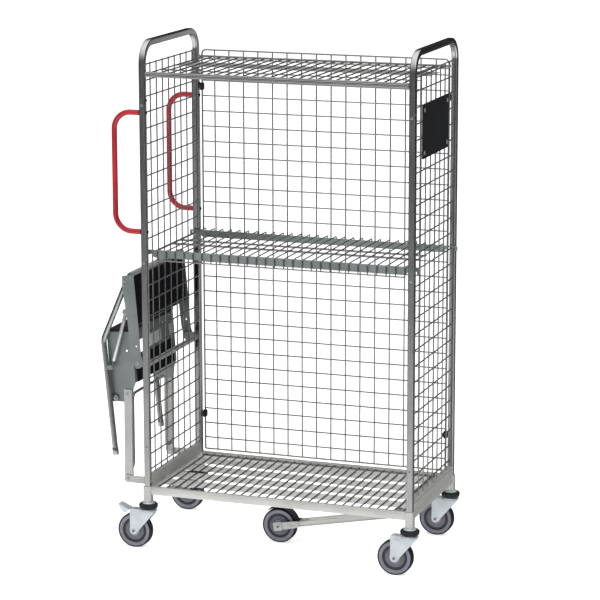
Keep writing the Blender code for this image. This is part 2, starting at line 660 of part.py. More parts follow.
def lower_step():
    """Uprights, cheek plates and pan in one weldment, with a brace hoop between them."""
    at = (LOWER_PIVOT[0], 0, LOWER_PIVOT[1])
    x, z = LOWER_PIVOT
    pan_low = step_frame_point(LOWER_PIVOT, LOWER_PAN_U[0], LOWER_PAN_V)
    pan_high = step_frame_point(LOWER_PIVOT, LOWER_PAN_U[1], LOWER_PAN_V)
    lip_high = step_frame_point(LOWER_PIVOT, LOWER_PAN_U[1], -34.0)
    cheek = [(-634, 508), (-600, 504), (-570, 508), (-560, 524), (-556, 560), pan_low,
             pan_high, lip_high]
    frame = add("lower_step_frame", prism(cheek, "Y", *CHEEK_Y), "steel_sheet", at)
    boolean(frame, prism(cheek, "Y", -CHEEK_Y[1], -CHEEK_Y[0]), "UNION", at)
    across = (-CHEEK_Y[0] - 1.0, CHEEK_Y[0] + 1.0)
    pan_v = (LOWER_PAN_V - PAN - 0.5, LOWER_PAN_V - 0.5)
    boolean(frame, slab(LOWER_PIVOT, (LOWER_PAN_U[0] + 1, LOWER_PAN_U[1] - 1), pan_v, across),
            "UNION", at)
    upright = [(x - 15, z - 8), (x - 8, z - 15), (x + 8, z - 15), (x + 15, z - 8),
               (x + 17, 556), (x - 13, 556)]
    for low, high in both_sides((UPRIGHT_Y[0] - 1.5, UPRIGHT_Y[1])):
        boolean(frame, prism(upright, "Y", low, high), "UNION", at)
    hoop_x = x + 1.0
    corners = ((hoop_x, -UPRIGHT_Y[0], 262), (hoop_x, -150, 262), (hoop_x, -150, 530),
               (hoop_x, 150, 530), (hoop_x, 150, 262), (hoop_x, UPRIGHT_Y[0], 262))
    hoop = sweep(rounded_path(corners, 22.0, 3), ring_points(5.0, 8), (1, 0, 0))
    boolean(frame, hoop, "UNION", at)
    for low, high in both_sides((CHEEK_Y[1] - 1.0, 200.0)):
        boolean(frame, cylinder(4.0, 12, "Y", low, high, link_end(LOWER_PIVOT)), "UNION", at)
    hole = cylinder(PIN_R + PIN_FIT, 12, "Y", -220, 220, LOWER_PIVOT)
    boolean(frame, hole, "DIFFERENCE", at)
    tread = slab(LOWER_PIVOT, LOWER_TREAD_U, (LOWER_PAN_V + GAP, LOWER_PAN_V + 2.5), (-168, 168))
    add("lower_tread", tread, "black", at)
    nosing = slab(LOWER_PIVOT, (LOWER_PAN_U[1] + GAP, LOWER_PAN_U[1] + 12.0),
                  (-34.0, LOWER_PAN_V + 2.5), (-CHEEK_Y[1], CHEEK_Y[1]))
    add("lower_step_nosing", nosing, "black", at)


def leg(name, foot_name, side):
    """Bent tube that joins both steps and stands on the floor when they are down."""
    top = Vector(link_end(UPPER_PIVOT))
    bend = Vector(LEG_BEND)
    foot = Vector(LEG_FOOT)
    start = top + (top - bend).normalized() * 13.0
    stop = foot + (bend - foot).normalized() * 3.0
    y = side * LEG_Y
    at = (top.x, 0, top.y)
    corners = [(p.x, y, p.y) for p in (start, bend, stop)]
    path = rounded_path(corners, 60.0, 4)
    tube = add(name, sweep(path, ring_points(LEG_R, 12), (0, 1, 0)), "zinc", at, True)
    lug_x, lug_z = link_end(LOWER_PIVOT)
    low, high = sorted((side * (UPRIGHT_Y[1] - 2.0), side * (LEG_Y - LEG_R + 3.0)))
    lug = [(lug_x - 20, lug_z - 12), (lug_x + 5, lug_z - 12), (lug_x + 11, lug_z - 5),
           (lug_x + 11, lug_z + 5), (lug_x + 5, lug_z + 12), (lug_x - 20, lug_z + 12)]
    boolean(tube, prism(lug, "Y", low, high), "UNION", at)
    hole = cylinder(4.0 + 2 * PIN_FIT, 12, "Y", low - 8, high + 1.5, (lug_x, lug_z))
    if side < 0:
        hole = cylinder(4.0 + 2 * PIN_FIT, 12, "Y", low - 1.5, high + 8, (lug_x, lug_z))
    boolean(tube, hole, "DIFFERENCE", at)
    bore = cylinder(PIN_R + PIN_FIT, 12, "Y", y - 20, y + 20, tuple(top))
    boolean(tube, bore, "DIFFERENCE", at)
    if side < 0:
        strut_x, strut_z = STRUT_LOW
        low, high = STRUT_Y - LEG_R - 0.5, STRUT_Y - 6.5
        ear = [(strut_x - 16, strut_z - 8), (strut_x + 4, strut_z - 8), (strut_x + 8, strut_z),
               (strut_x + 4, strut_z + 8), (strut_x - 16, strut_z + 8)]
        boolean(tube, prism(ear, "Y", low, high), "UNION", at)
        boolean(tube, cylinder(3.0, 10, "Y", low + 1, STRUT_Y + 5, STRUT_LOW), "UNION", at)
    down = (foot - bend).normalized()
    cup = foot - down * 27.0
    cap = sweep([Vector((foot.x, y, foot.y)), Vector((cup.x, y, cup.y))],
                ring_points(LEG_R + 1.4, 12), (0, 1, 0))
    ferrule = add(foot_name, cap, "zinc", at, True)
    inner_end = foot - down * 3.0 + down * GAP
    outer_end = foot - down * 40.0
    pocket = sweep([Vector((inner_end.x, y, inner_end.y)), Vector((outer_end.x, y, outer_end.y))],
                   ring_points(LEG_R + GAP, 12), (0, 1, 0))
    boolean(ferrule, pocket, "DIFFERENCE", at)


def gas_spring():
    """Cylinder hung on the upper side bar, with its rod pinned to the front leg."""
    top = Vector(STRUT_TOP)
    low = Vector(STRUT_LOW)
    along = (low - top).normalized()
    barrel_end = 172.0
    length = (low - top).length
    at = (top.x, 0, top.y)

    def tube_between(a, b, radius, sides):
        ends = [Vector((p.x, STRUT_Y, p.y)) for p in (top + along * a, top + along * b)]
        return sweep(ends, ring_points(radius, sides), (0, 1, 0))

    barrel = add("gas_spring_cylinder", tube_between(10.0, barrel_end, 6.5, 12), "chrome", at, True)
    eye = cylinder(7.5, 12, "Y", STRUT_Y - 4, STRUT_Y + 4, STRUT_TOP)
    boolean(barrel, eye, "UNION", at)
    boolean(barrel, tube_between(4.0, 14.0, 3.5, 8), "UNION", at)
    bore = tube_between(24.0, barrel_end + 5.0, 3.2, 8)
    boolean(barrel, bore, "DIFFERENCE", at)
    pin_hole = cylinder(3.5 + PIN_FIT, 10, "Y", STRUT_Y - 10, STRUT_Y + 10, STRUT_TOP)
    boolean(barrel, pin_hole, "DIFFERENCE", at)
    rod = add("gas_spring_rod", tube_between(26.0, length - 4.0, 2.9, 8), "bright_zinc", at, True)
    boolean(rod, cylinder(6.0, 12, "Y", STRUT_Y - 4, STRUT_Y + 4, STRUT_LOW), "UNION", at)
    eye_hole = cylinder(3.0 + PIN_FIT, 10, "Y", STRUT_Y - 10, STRUT_Y + 10, STRUT_LOW)
    boolean(rod, eye_hole, "DIFFERENCE", at)


def ladder():
    ladder_cross_rail()
    ladder_bracket("ladder_bracket_front", -1)
    ladder_bracket("ladder_bracket_back", 1)
    upper_step()
    lower_step()
    leg("ladder_leg_front", "ladder_foot_front", -1)
    leg("ladder_leg_back", "ladder_foot_back", 1)
    gas_spring()


def build():
    for tag, side in (("left", -1), ("right", 1)):
        end_hoop("end_hoop_" + tag, side)
        side_rail("side_rail_" + tag, side)
        side_mesh("side_mesh_" + tag, side)
    back_mesh()
    base_frame()
    base_deck()
    top_shelf()
    mid_shelf()
    pull_handle("pull_handle_front", -1)
    pull_handle("pull_handle_back", 1)
    label_plate()
    for tag, x, y, braked in (("front_left", -POST_X, -POST_Y, True),
                              ("front_right", POST_X, -POST_Y, False),
                              ("back_left", -POST_X, POST_Y, True),
                              ("back_right", POST_X, POST_Y, False)):
        castor(tag, x, y, braked)
    centre_wheel()
    centre_wheel_hanger()
    ladder()


clear_scene()
CAGE = bpy.data.objects.new("cage_middle", None)
bpy.context.collection.objects.link(CAGE)
CAGE.location = (CAGE_SHIFT_X * MM, 0.0, 0.0)
build()
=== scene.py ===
import math

import bmesh
import bpy
from mathutils import Matrix, Vector


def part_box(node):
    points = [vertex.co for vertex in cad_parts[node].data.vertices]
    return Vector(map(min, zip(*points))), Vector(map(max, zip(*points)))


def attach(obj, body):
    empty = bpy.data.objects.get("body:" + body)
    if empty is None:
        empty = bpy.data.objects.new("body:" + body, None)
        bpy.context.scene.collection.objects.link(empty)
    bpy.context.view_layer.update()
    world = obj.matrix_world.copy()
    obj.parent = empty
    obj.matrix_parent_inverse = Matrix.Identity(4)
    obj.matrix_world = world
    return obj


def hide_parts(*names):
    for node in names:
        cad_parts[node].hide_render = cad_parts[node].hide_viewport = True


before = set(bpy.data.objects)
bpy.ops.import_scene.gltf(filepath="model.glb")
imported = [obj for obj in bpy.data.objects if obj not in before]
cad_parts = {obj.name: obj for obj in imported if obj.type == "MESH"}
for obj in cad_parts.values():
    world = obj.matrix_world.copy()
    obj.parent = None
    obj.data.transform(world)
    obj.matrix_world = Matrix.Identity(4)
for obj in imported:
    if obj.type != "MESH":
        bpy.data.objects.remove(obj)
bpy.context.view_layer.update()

# Shapes below are in millimetres, measured from the middle of the cage.  X runs along the
# trolley, the ladder is at -X, the open front is at -Y, and the floor is at Z = 0.
MM = 0.001


def node_box(node):
    """Lowest and highest corner of a CAD node, in millimetres from the middle of the cage."""
    low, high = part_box(node)
    shift = Vector((CAGE_X, 0.0, 0.0))
    return (low - shift) / MM, (high - shift) / MM


def middle(node):
    low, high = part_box(node)
    return (low + high) / 2


CAGE_X = (middle("end_hoop_left").x + middle("end_hoop_right").x) / 2

HOOP_LOW, HOOP_HIGH = node_box("end_hoop_right")
FACE_X, FACE_Y, FACE_TOP = HOOP_HIGH
POST = FACE_X - HOOP_LOW.x
POST_X = FACE_X - POST / 2
POST_Y = FACE_Y - POST / 2
POST_FOOT = HOOP_LOW.z
HOOP_BEND = 69.0
HANDLE_BEND = 60.0
RIVET_NUTS_Z = (1576.0, 1028.0, 369.0)
HANDLE_BOLTS_Z = (1592.0, 1549.0, 1136.0)

WIRE = 5.0
WIRE_R = WIRE / 2
PITCH = 55.0
ROWS = 27
WELD = 0.3                    # how far a wire is pressed into its welds
BACK = node_box("back_mesh")
BACK_RIM_R = 3.0
MESH_TOP = BACK[1].z - WIRE_R
SIDE_WIRE_SHIFT = 8.0
DECK_Z = node_box("base_deck")[1].z
SHELF_PITCH = 33.2
DECK_PITCH = 31.2

WHEEL_R = middle("centre_wheel_tyre").z / MM
TRAIL = 50.0                  # how far a castor's axle lies behind its stem
ARM_PIVOT = (420.0, 157.0)
ROUND = 48                    # sides of a turned piece
NEARLY_STRAIGHT = 1.55        # half the angle of a corner that needs no arc, in radians


# ---- shapes ---------------------------------------------------------------------------
def box(low, high):
    made = bmesh.new()
    bmesh.ops.create_cube(made, size=1.0)
    for vert in made.verts:
        for axis in range(3):
            vert.co[axis] = high[axis] if vert.co[axis] > 0 else low[axis]
    return made


def join(*shapes):
    """Put several shapes into the first one."""
    whole = shapes[0]
    for shape in shapes[1:]:
        mesh = bpy.data.meshes.new("joined")
        shape.to_mesh(mesh)
        whole.from_mesh(mesh)
        bpy.data.meshes.remove(mesh)
        shape.free()
    return whole


def rect(low_a, low_b, high_a, high_b):
    """Corners of an upright rectangle, in order."""
    return [(low_a, low_b), (high_a, low_b), (high_a, high_b), (low_a, high_b)]


def mirrored(half, centre=0.0):
    """An outline or profile from one half of it, which is repeated across b = centre."""
    return half + [(a, 2 * centre - b) for a, b in half[::-1]]


def span(side, one, two, centre=0.0):
    """Two distances from the centre on one side, lower coordinate first."""
    return sorted((centre + side * one, centre + side * two))


def along(axis, a, b, c):
    """A point from its place across an axis, (a, b), and along it, c."""
    return Vector({"X": (c, a, b), "Y": (a, c, b), "Z": (a, b, c)}[axis])


def round_corner(before, corner, after, radius, steps):
    """Points of the arc that rounds one corner of an outline or of a path."""
    corner = Vector(corner)
    back = (Vector(before) - corner).normalized()
    ahead = (Vector(after) - corner).normalized()
    half = back.angle(ahead) / 2
    if radius <= 0 or half > NEARLY_STRAIGHT:
        return [corner]
    reach = radius / math.tan(half)
    centre = corner + (back + ahead).normalized() * radius / math.sin(half)
    start = corner + back * reach - centre
    stop = corner + ahead * reach - centre
    turn = start.angle(stop)
    points = []
    for j in range(steps + 1):
        t = j / steps
        arc = (start * math.sin((1 - t) * turn) + stop * math.sin(t * turn)) / math.sin(turn)
        points.append(centre + arc)
    return points


def skin(made, rings, closed=False):
    """Join each ring of points to the next; a ring of one point is a pole."""
    sides = max(len(ring) for ring in rings)
    following = rings[1:] + rings[:1] if closed else rings[1:]
    for one, two in zip(rings, following):
        for k in range(sides):
            n = (k + 1) % sides
            corners = (one[k % len(one)], one[n % len(one)], two[n % len(two)], two[k % len(two)])
            made.faces.new(list(dict.fromkeys(corners)))
    for ring in () if closed else (rings[0], rings[-1][::-1]):
        if len(ring) > 1:
            made.faces.new(ring)
    return made


def fillet(corners, radii, steps=5):
    """A closed outline with its corners rounded; a radius of 0 leaves a corner sharp."""
    if not isinstance(radii, (list, tuple)):
        radii = [radii] * len(corners)
    points = []
    for k, radius in enumerate(radii):
        after = corners[(k + 1) % len(corners)]
        points += round_corner(corners[k - 1], corners[k], after, radius, steps)
    return points


def bend_path(corners, radius, steps=8):
    """A path through the corners with each inner corner turned into an arc."""
    points = [Vector(corners[0])]
    for before, corner, after in zip(corners, corners[1:], corners[2:]):
        points += round_corner(before, corner, after, radius, steps)
    return points + [Vector(corners[-1])]


def prism(outline, axis, low, high):
    """Extrude a closed outline of (a, b) points along X, Y or Z."""
    made = bmesh.new()
    return skin(made, [[made.verts.new(along(axis, a, b, c)) for a, b in outline] for c in (low, high)])


def circle(radius, sides, turn=0.0):
    step = 2 * math.pi / sides
    return [(radius * math.cos(turn + step * k), radius * math.sin(turn + step * k))
            for k in range(sides)]


def disc(radius, axis, low, high, centre, sides=24):
    """A short cylinder along an axis; `centre` is its place in the other two directions."""
    outline = [(centre[0] + a, centre[1] + b) for a, b in circle(radius, sides, 0.1)]
    return prism(outline, axis, low, high)


def lathe(profile, axis, centre, closed=False, sides=ROUND):
    """Turn (radius, height) points about an axis; a closed profile makes a ring."""
    made = bmesh.new()
    rings = []
    for radius, height in profile:
        spots = circle(radius, sides) if radius > 1e-6 else [(0.0, 0.0)]
        rings.append([made.verts.new(along(axis, a, b, height) + Vector(centre)) for a, b in spots])
    return skin(made, rings, closed)


def sweep(path, section, up, closed=False):
    """Carry a section of (out, across) points along a path; `up` fixes which way is across."""
    made = bmesh.new()
    rings = []
    count = len(path)
    for k, point in enumerate(path):
        before = point - path[k - 1] if k or closed else None
        after = path[(k + 1) % count] - point if k + 1 < count or closed else None
        one = (before or after).normalized()
        two = (after or before).normalized()
        ahead = (one + two).normalized()
        out = ahead.cross(Vector(up)).normalized()
        across = out.cross(ahead)
        stretch = 1.0 / max(ahead.dot(one), 0.2)
        rings.append([made.verts.new(point + out * a * stretch - across * b) for a, b in section])
    return skin(made, rings, closed)


def turned_on(start, ahead, profile, sides=28):
    """A solid of (radius, distance) points, turned about a line from `start`."""
    up = Vector((0, 0, 1)) if abs(ahead.z) < 0.9 else Vector((0, 1, 0))
    out = ahead.cross(up).normalized()
    across = ahead.cross(out)
    made = bmesh.new()
    rings = []
    for radius, distance in profile:
        centre = start + ahead * distance
        rings.append([made.verts.new(centre + out * a + across * b) for a, b in circle(radius, sides)])
    return skin(made, rings)


def rod(start, stop, radius=WIRE_R, sides=10):
    """A straight wire with slightly rounded ends."""
    start = Vector(start)
    line = Vector(stop) - start
    tip = radius * 0.3
    profile = [(radius * 0.7, 0), (radius, tip), (radius, line.length - tip), (radius * 0.7, line.length)]
    return turned_on(start, line.normalized(), profile, sides)


def wire(corners, bend=6.0, radius=WIRE_R, up=(0, 1, 0), sides=10, steps=5):
    return sweep(bend_path(corners, bend, steps), circle(radius, sides), up)


# ---- pieces ---------------------------------------------------------------------------
def soften(made, width, sharper_than):
    """Bevel the edges that turn by more than an angle in degrees."""
    edge = made.modifiers.new("edges", "BEVEL")
    edge.width = width * MM
    edge.segments = 2
    edge.limit_method = "ANGLE"
    edge.angle_limit = math.radians(sharper_than)
    return edge


def solid(name, shape):
    """Put a shape into a new object, with its faces pointing out."""
    bmesh.ops.recalc_face_normals(shape, faces=shape.faces)
    mesh = bpy.data.meshes.new(name)
    shape.to_mesh(mesh)
    shape.free()
    made = bpy.data.objects.new(name, mesh)
    bpy.context.collection.objects.link(made)
    return made


def piece(name, shape, finish, body, nodes=(), bevel=0.0, angle=35.0):
    """Turn a shape into a shaded object that rides on a body and may replace CAD nodes."""
    for vert in shape.verts:
        vert.co = Vector((vert.co.x * MM + CAGE_X, vert.co.y * MM, vert.co.z * MM))
    made = solid(name, shape)
    made.data.materials.append(KIT[finish])
    if bevel:
        soften(made, bevel, 40).harden_normals = True
    made.data.shade_smooth()
    made.data.set_sharp_from_angle(angle=math.radians(angle))
    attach(made, body)
    if nodes:
        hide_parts(*nodes)
    return made


def carve(shape, *cutters, keep="DIFFERENCE"):
    """Boolean a shape with cutters and return the result as a new shape."""
    body = solid("carved", shape)
    tools = [solid("tool", cutter) for cutter in cutters]
    for tool in tools:
        step = body.modifiers.new("step", "BOOLEAN")
        step.operation = keep
        step.solver = "EXACT"
        step.object = tool
    bpy.context.view_layer.update()
    whole = bmesh.new()
    whole.from_object(body, bpy.context.evaluated_depsgraph_get())
    for old in [body] + tools:
        data = old.data
        bpy.data.objects.remove(old, do_unlink=True)
        bpy.data.meshes.remove(data)
    return whole


# ---- materials ------------------------------------------------------------------------
class Graph:
    """A node tree and short ways to add procedural detail to it."""

    def __init__(self, tree):
        self.tree = tree

    def node(self, kind, **settings):
        made = self.tree.nodes.new(kind)
        for key, value in settings.items():
            setattr(made, key, value)
        return made

    def link(self, source, target):
        self.tree.links.new(source, target)

    def spread(self, value, low, high, start=0.3, stop=0.7, **settings):
        made = self.node("ShaderNodeMapRange", **settings)
        made.inputs["From Min"].default_value = start
        made.inputs["From Max"].default_value = stop
        made.inputs["To Min"].default_value = low
        made.inputs["To Max"].default_value = high
        self.link(value, made.inputs["Value"])
        return made.outputs["Result"]

    def mix(self, factor, one, two, blend="MIX"):
        """Mix two colours; each value is a socket or a plain number or colour."""
        made = self.node("ShaderNodeMix", data_type="RGBA", blend_type=blend)
        if isinstance(factor, float):
            made.inputs["Factor"].default_value = factor
        else:
            self.link(factor, made.inputs["Factor"])
        for socket, value in zip([i for i in made.inputs if i.type == "RGBA"], (one, two)):
            if isinstance(value, tuple):
                socket.default_value = (*value, 1.0)
            else:
                self.link(value, socket)
        return [o for o in made.outputs if o.type == "RGBA"][0]


class Surface(Graph):
    """A Principled material with bump, noise and cells in the object's own space."""

    def __init__(self, name, colour, metallic, roughness):
        self.material = bpy.data.materials.new(name)
        self.material.use_nodes = True
        super().__init__(self.material.node_tree)
        self.shader = self.tree.nodes["Principled BSDF"]
        self.set("Base Color", (*colour, 1.0))
        self.set("Metallic", metallic)
        self.set("Roughness", roughness)
        self.place = self.node("ShaderNodeTexCoord").outputs["Object"]
        self.height = None

    def set(self, socket, value):
        self.shader.inputs[socket].default_value = value

    def noise(self, per_metre, detail=3.0, stretch=(1, 1, 1)):
        spread = self.node("ShaderNodeMapping")
        spread.inputs["Scale"].default_value = stretch
        self.link(self.place, spread.inputs["Vector"])
        made = self.node("ShaderNodeTexNoise")
        made.inputs["Scale"].default_value = per_metre
        made.inputs["Detail"].default_value = detail
        made.inputs["Roughness"].default_value = 0.55
        self.link(spread.outputs["Vector"], made.inputs["Vector"])
        return made.outputs["Fac"]

    def cells(self, per_metre):
        made = self.node("ShaderNodeTexVoronoi")
        made.inputs["Scale"].default_value = per_metre
        self.link(self.place, made.inputs["Vector"])
        return made.outputs["Color"]

    def colour(self, socket):
        self.tone = socket
        self.link(socket, self.shader.inputs["Base Color"])

    def roughness(self, socket):
        self.link(socket, self.shader.inputs["Roughness"])

    def bump(self, value, depth_mm, strength=1.0):
        made = self.node("ShaderNodeBump")
        made.inputs["Distance"].default_value = depth_mm * MM
        made.inputs["Strength"].default_value = strength
        self.link(value, made.inputs["Height"])
        if self.height:
            self.link(self.height, made.inputs["Normal"])
        self.height = made.outputs["Normal"]
        self.link(self.height, self.shader.inputs["Normal"])


def darker(colour, share):
    return tuple(c * share for c in colour)


def plated_steel(name, colour, roughness, streaks=(1, 1, 1), spread=0.10, cloud=9.0, metallic=1.0):
    """Zinc or nickel plate: cloudy brightness, drawn streaks and fine pitting."""
    made = Surface(name, colour, metallic, roughness)
    cloud_value = made.noise(cloud, 4.0)
    fine = made.noise(420.0, 4.0, streaks)
    tone = made.mix(made.spread(cloud_value, 0.0, 1.0), darker(colour, 0.80), colour)
    made.colour(made.mix(made.spread(fine, 0.0, 0.35), tone, darker(colour, 0.62)))
    made.roughness(made.spread(fine, roughness - spread * 0.5, roughness + spread))
    made.bump(fine, 0.05, 0.35)
    return made.material


def coating(name, colour, gloss, cloud, tones, grain, bump, metallic=0.0, window=(0.3, 0.7), dusty=False):
    """Paint, plastic or rubber: clouds or dust between two tones over a fine grain.

    `gloss` holds the plain roughness and its range, which follows the grain, or the clouds
    when the surface is dusty.
    """
    made = Surface(name, colour, metallic, gloss[0])
    drift = made.noise(*cloud)
    fine = made.noise(*grain) if len(grain) > 1 else made.cells(*grain)
    made.colour(made.mix(made.spread(drift, 0.0, 1.0, *window), *tones))
    made.roughness(made.spread(drift if dusty else fine, *gloss[1:]))
    made.bump(fine, *bump)
    return made


def make_materials():
    kit = {}
    for key, *settings in (
            ("post", (0.60, 0.61, 0.61), 0.17, (1, 1, 0.04), 0.10, 5.0),
            ("wire", (0.44, 0.445, 0.43), 0.26, (1, 1, 1), 0.14, 12.0),
            # deck_wire: the wire plate made darker for the base deck's wires, as painted shade.
            ("deck_wire", (0.26, 0.265, 0.26), 0.34, (1, 1, 1), 0.14, 12.0),
            ("rail", (0.78, 0.785, 0.75), 0.40, (0.05, 1, 1), 0.10, 7.0, 0.6),
            ("strip", (0.70, 0.71, 0.68), 0.42, (0.05, 1, 1), 0.12, 9.0, 0.7),
            # deck: the strip plate made brighter and almost non-metallic, as painted light on the base
            # deck's tops.
            ("deck", (0.86, 0.865, 0.835), 0.46, (0.05, 1, 1), 0.12, 9.0, 0.1),
            ("rod", (0.40, 0.40, 0.395), 0.18, (0.05, 1, 1), 0.10, 8.0),
            ("barrel", (0.86, 0.87, 0.88), 0.30, (1, 1, 0.04), 0.08, 20.0, 0.8),
            ("bolt", (0.66, 0.67, 0.67), 0.24, (1, 1, 1), 0.12, 60.0),
            ("leg", (0.50, 0.51, 0.51), 0.22, (1, 1, 0.05), 0.12, 8.0)):
        kit[key] = plated_steel(key + "_plate", *settings)

    zinc = coating("pressed_zinc", (0.70, 0.76, 0.79), (0.36, 0.30, 0.46), (28.0, 5.0),
                   ((0.60, 0.67, 0.71), (0.76, 0.81, 0.83)), (900.0, 3.0), (0.06, 0.4), 0.5, dusty=True)
    zinc.bump(zinc.noise(28.0, 5.0), 0.25, 0.3)
    sheet = coating("ladder_sheet", (0.30, 0.34, 0.34), (0.46, 0.38, 0.56), (7.0, 4.0),
                    ((0.25, 0.28, 0.275), (0.36, 0.40, 0.395)), (700.0, 3.0), (0.04, 0.4), 0.85)
    spangle = sheet.spread(sheet.cells(95.0), 0.0, 0.25, 0.0, 1.0)
    sheet.colour(sheet.mix(spangle, sheet.tone, (0.42, 0.45, 0.45)))
    red = coating("red_coat", (0.40, 0.007, 0.016), (0.34, 0.24, 0.40), (14.0, 3.0),
                  ((0.33, 0.005, 0.012), (0.44, 0.008, 0.018)), (260.0, 2.0), (0.12, 0.5))
    red.set("Coat Weight", 0.15)
    red.set("Coat Roughness", 0.12)
    black = coating("black_coat", (0.004, 0.005, 0.007), (0.42, 0.34, 0.52), (10.0, 3.0),
                    ((0.003, 0.0035, 0.005), (0.006, 0.007, 0.010)), (850.0, 3.0), (0.08, 0.5))
    black.set("Specular IOR Level", 0.25)
    grit = coating("grit_tape", (0.010, 0.010, 0.013), (0.85, 0.70, 0.95), (1500.0, 2.0),
                   ((0.003, 0.003, 0.005), (0.014, 0.014, 0.018)), (1100.0,), (0.35, 0.8),
                   window=(0.45, 0.75), dusty=True)
    grit.set("Specular IOR Level", 0.12)
    rubber = coating("black_rubber", (0.012, 0.012, 0.013), (0.62, 0.50, 0.78), (35.0, 5.0),
                     ((0.008, 0.008, 0.009), (0.030, 0.029, 0.027)), (600.0, 3.0), (0.10, 0.4),
                     window=(0.45, 0.8), dusty=True)
    tyre = coating("tyre_rubber", (0.013, 0.013, 0.017), (0.55, 0.45, 0.75), (22.0, 5.0),
                   ((0.009, 0.009, 0.013), (0.035, 0.034, 0.034)), (500.0, 4.0), (0.10, 0.4),
                   window=(0.5, 0.85), dusty=True)
    for soft in (rubber, tyre):
        soft.set("Specular IOR Level", 0.35)
    # Dark steel for the handle collars, and painted shade for the drain holes and the rivets' hollow bores.
    dark = coating("dark_steel_and_hole_shade", (0.035, 0.036, 0.038), (0.5, 0.4, 0.65), (300.0, 3.0),
                   ((0.02, 0.02, 0.022), (0.06, 0.06, 0.062)), (300.0, 3.0), (0.05, 0.3), 0.6)
    kit.update(zinc=zinc.material, sheet=sheet.material, red=red.material, black=black.material,
               grit=grit.material, rubber=rubber.material, tyre=tyre.material, dark=dark.material)

    # One grey hub plastic in four tones that darken the deeper a ring sits: painted shade in the hub's
    # recesses, near black in the groove.
    for key, name, colour in (("hub_rim", "rim", (0.205, 0.208, 0.25)),
                              ("hub_groove", "groove", (0.034, 0.035, 0.046)),
                              ("hub_web", "web", (0.125, 0.128, 0.155)),
                              ("hub_boss", "boss", (0.30, 0.295, 0.34)),
                              ("grey", "grey_cap", (0.20, 0.20, 0.205))):
        tones = (darker(colour, 0.85), darker(colour, 1.12))
        plastic = coating(name + "_plastic", colour, (0.42, 0.34, 0.52), (40.0, 3.0), tones,
                          (450.0, 3.0), (0.08, 0.4))
        kit[key] = plastic.material
    return kit


# ---- small hardware -------------------------------------------------------------------
def bolt_head(axis, spot, outward, across=5.0, height=4.0):
    """Hexagon head on a washer, standing out from a face by `outward` (1 or -1)."""
    base = spot["XYZ".index(axis)]
    others = [spot[k] for k in range(3) if "XYZ"[k] != axis]
    washer = disc(across * 1.45, axis, *span(outward, 0, 1.2, base), others, 28)
    hexagon = [(others[0] + a, others[1] + b) for a, b in circle(across * 1.12, 6, 0.35)]
    head = prism(hexagon, axis, *span(outward, 1.0, height, base))
    dome = [(others[0] + a, others[1] + b) for a, b in circle(across * 0.9, 20)]
    cap = prism(dome, axis, *span(outward, height * 0.8, height + 0.6, base))
    return join(washer, head, cap)


def rivet(axis, spot, outward, radius=5.5, height=1.8, hollow=2.2):
    """Low round flange with a dished middle."""
    centre = Vector(spot)
    index = "XYZ".index(axis)
    base = centre[index]
    centre[index] = 0.0
    profile = [(0, 0), (radius, 0), (radius, height * 0.45), (radius * 0.75, height),
               (hollow + 0.6, height), (hollow, height * 0.8), (hollow * 0.8, -height * 0.4),
               (0, -height * 0.5)]
    return lathe([(r, base + outward * h) for r, h in profile], axis, centre, sides=24)


# ---- the cage -------------------------------------------------------------------------
def end_hoop(name, side):
    x = side * POST_X
    top = FACE_TOP - POST / 2
    corners = ((x, -POST_Y, POST_FOOT), (x, -POST_Y, top), (x, POST_Y, top), (x, POST_Y, POST_FOOT))
    section = fillet(rect(-POST / 2, -POST / 2, POST / 2, POST / 2), 4.5, 6)
    shape = sweep(bend_path(corners, HOOP_BEND, 18), section, (1, 0, 0))
    piece(name + "_tube", shape, "post", "cage", [name])
    fittings = []
    for z in RIVET_NUTS_Z:
        fittings.append(rivet("Y", (x, -FACE_Y, z), -1, 4.6, 1.2, 2.0))
        fittings.append(rivet("Y", (x, FACE_Y, z), 1, 4.6, 1.2, 2.0))
        fittings.append(rivet("X", (side * FACE_X, -POST_Y, z + 9), side, 3.6, 0.9, 1.6))
    piece(name + "_rivets", join(*fittings), "bolt", "cage")
    # A dark disc on the post's inner face stands for the drain hole: painted shade inside the hole.
    hole = disc(2.8, "X", *span(-side, POST / 2, POST / 2 + 0.3, x), (34.0, top - 2))
    piece(name + "_drain_hole", hole, "dark", "cage")
    if side < 0:
        heads = []
        for z in HANDLE_BOLTS_Z:
            for y in (-POST_Y, POST_Y):
                heads.append(bolt_head("X", (x + POST / 2, y, z), 1, 4.2, 3.0))
        piece(name + "_handle_bolts", join(*heads), "rubber", "cage")


def side_panel(name, side):
    """Welded panel: upright wires on the outside, level wires on the inside."""
    low, high = node_box(name)
    outer = side * (POST_X + WIRE_R - WELD)
    inner = side * (POST_X - WIRE_R + WELD)
    wires = []
    for k in range(-4, 5):
        y = side * SIDE_WIRE_SHIFT + PITCH * k
        y = min(max(y, low.y + 4.5), high.y - 4.5)
        wires.append(rod((outer, y, low.z), (outer, y, high.z)))
    for k in range(ROWS):
        z = MESH_TOP - PITCH * k
        wires.append(rod((inner, low.y - 0.2, z), (inner, high.y + 0.2, z)))
    piece(name + "_wires", join(*wires), "wire", "cage", [name])


def back_panel():
    low, high = BACK
    depth = (low.y + high.y) / 2
    front = depth - WIRE_R + WELD
    rear = depth + WIRE_R - WELD
    edge_x = high.x - BACK_RIM_R
    bottom = low.z + BACK_RIM_R
    wires = []
    for k in range(16):
        x = PITCH * (k - 7.5)
        wires.append(rod((x, rear, bottom), (x, rear, MESH_TOP)))
    for k in range(1, ROWS):
        z = MESH_TOP - PITCH * k
        wires.append(rod((-edge_x, front, z), (edge_x, front, z)))
    flat = fillet(rect(-edge_x, bottom, edge_x, MESH_TOP - 0.5), [2.0, 2.0, 16.0, 16.0], 6)
    rim = [Vector((x, depth, z)) for x, z in flat]
    wires.append(sweep(rim, circle(BACK_RIM_R, 12), (0, 1, 0), closed=True))
    piece("back_mesh_wires", join(*wires), "wire", "cage", ["back_mesh"])


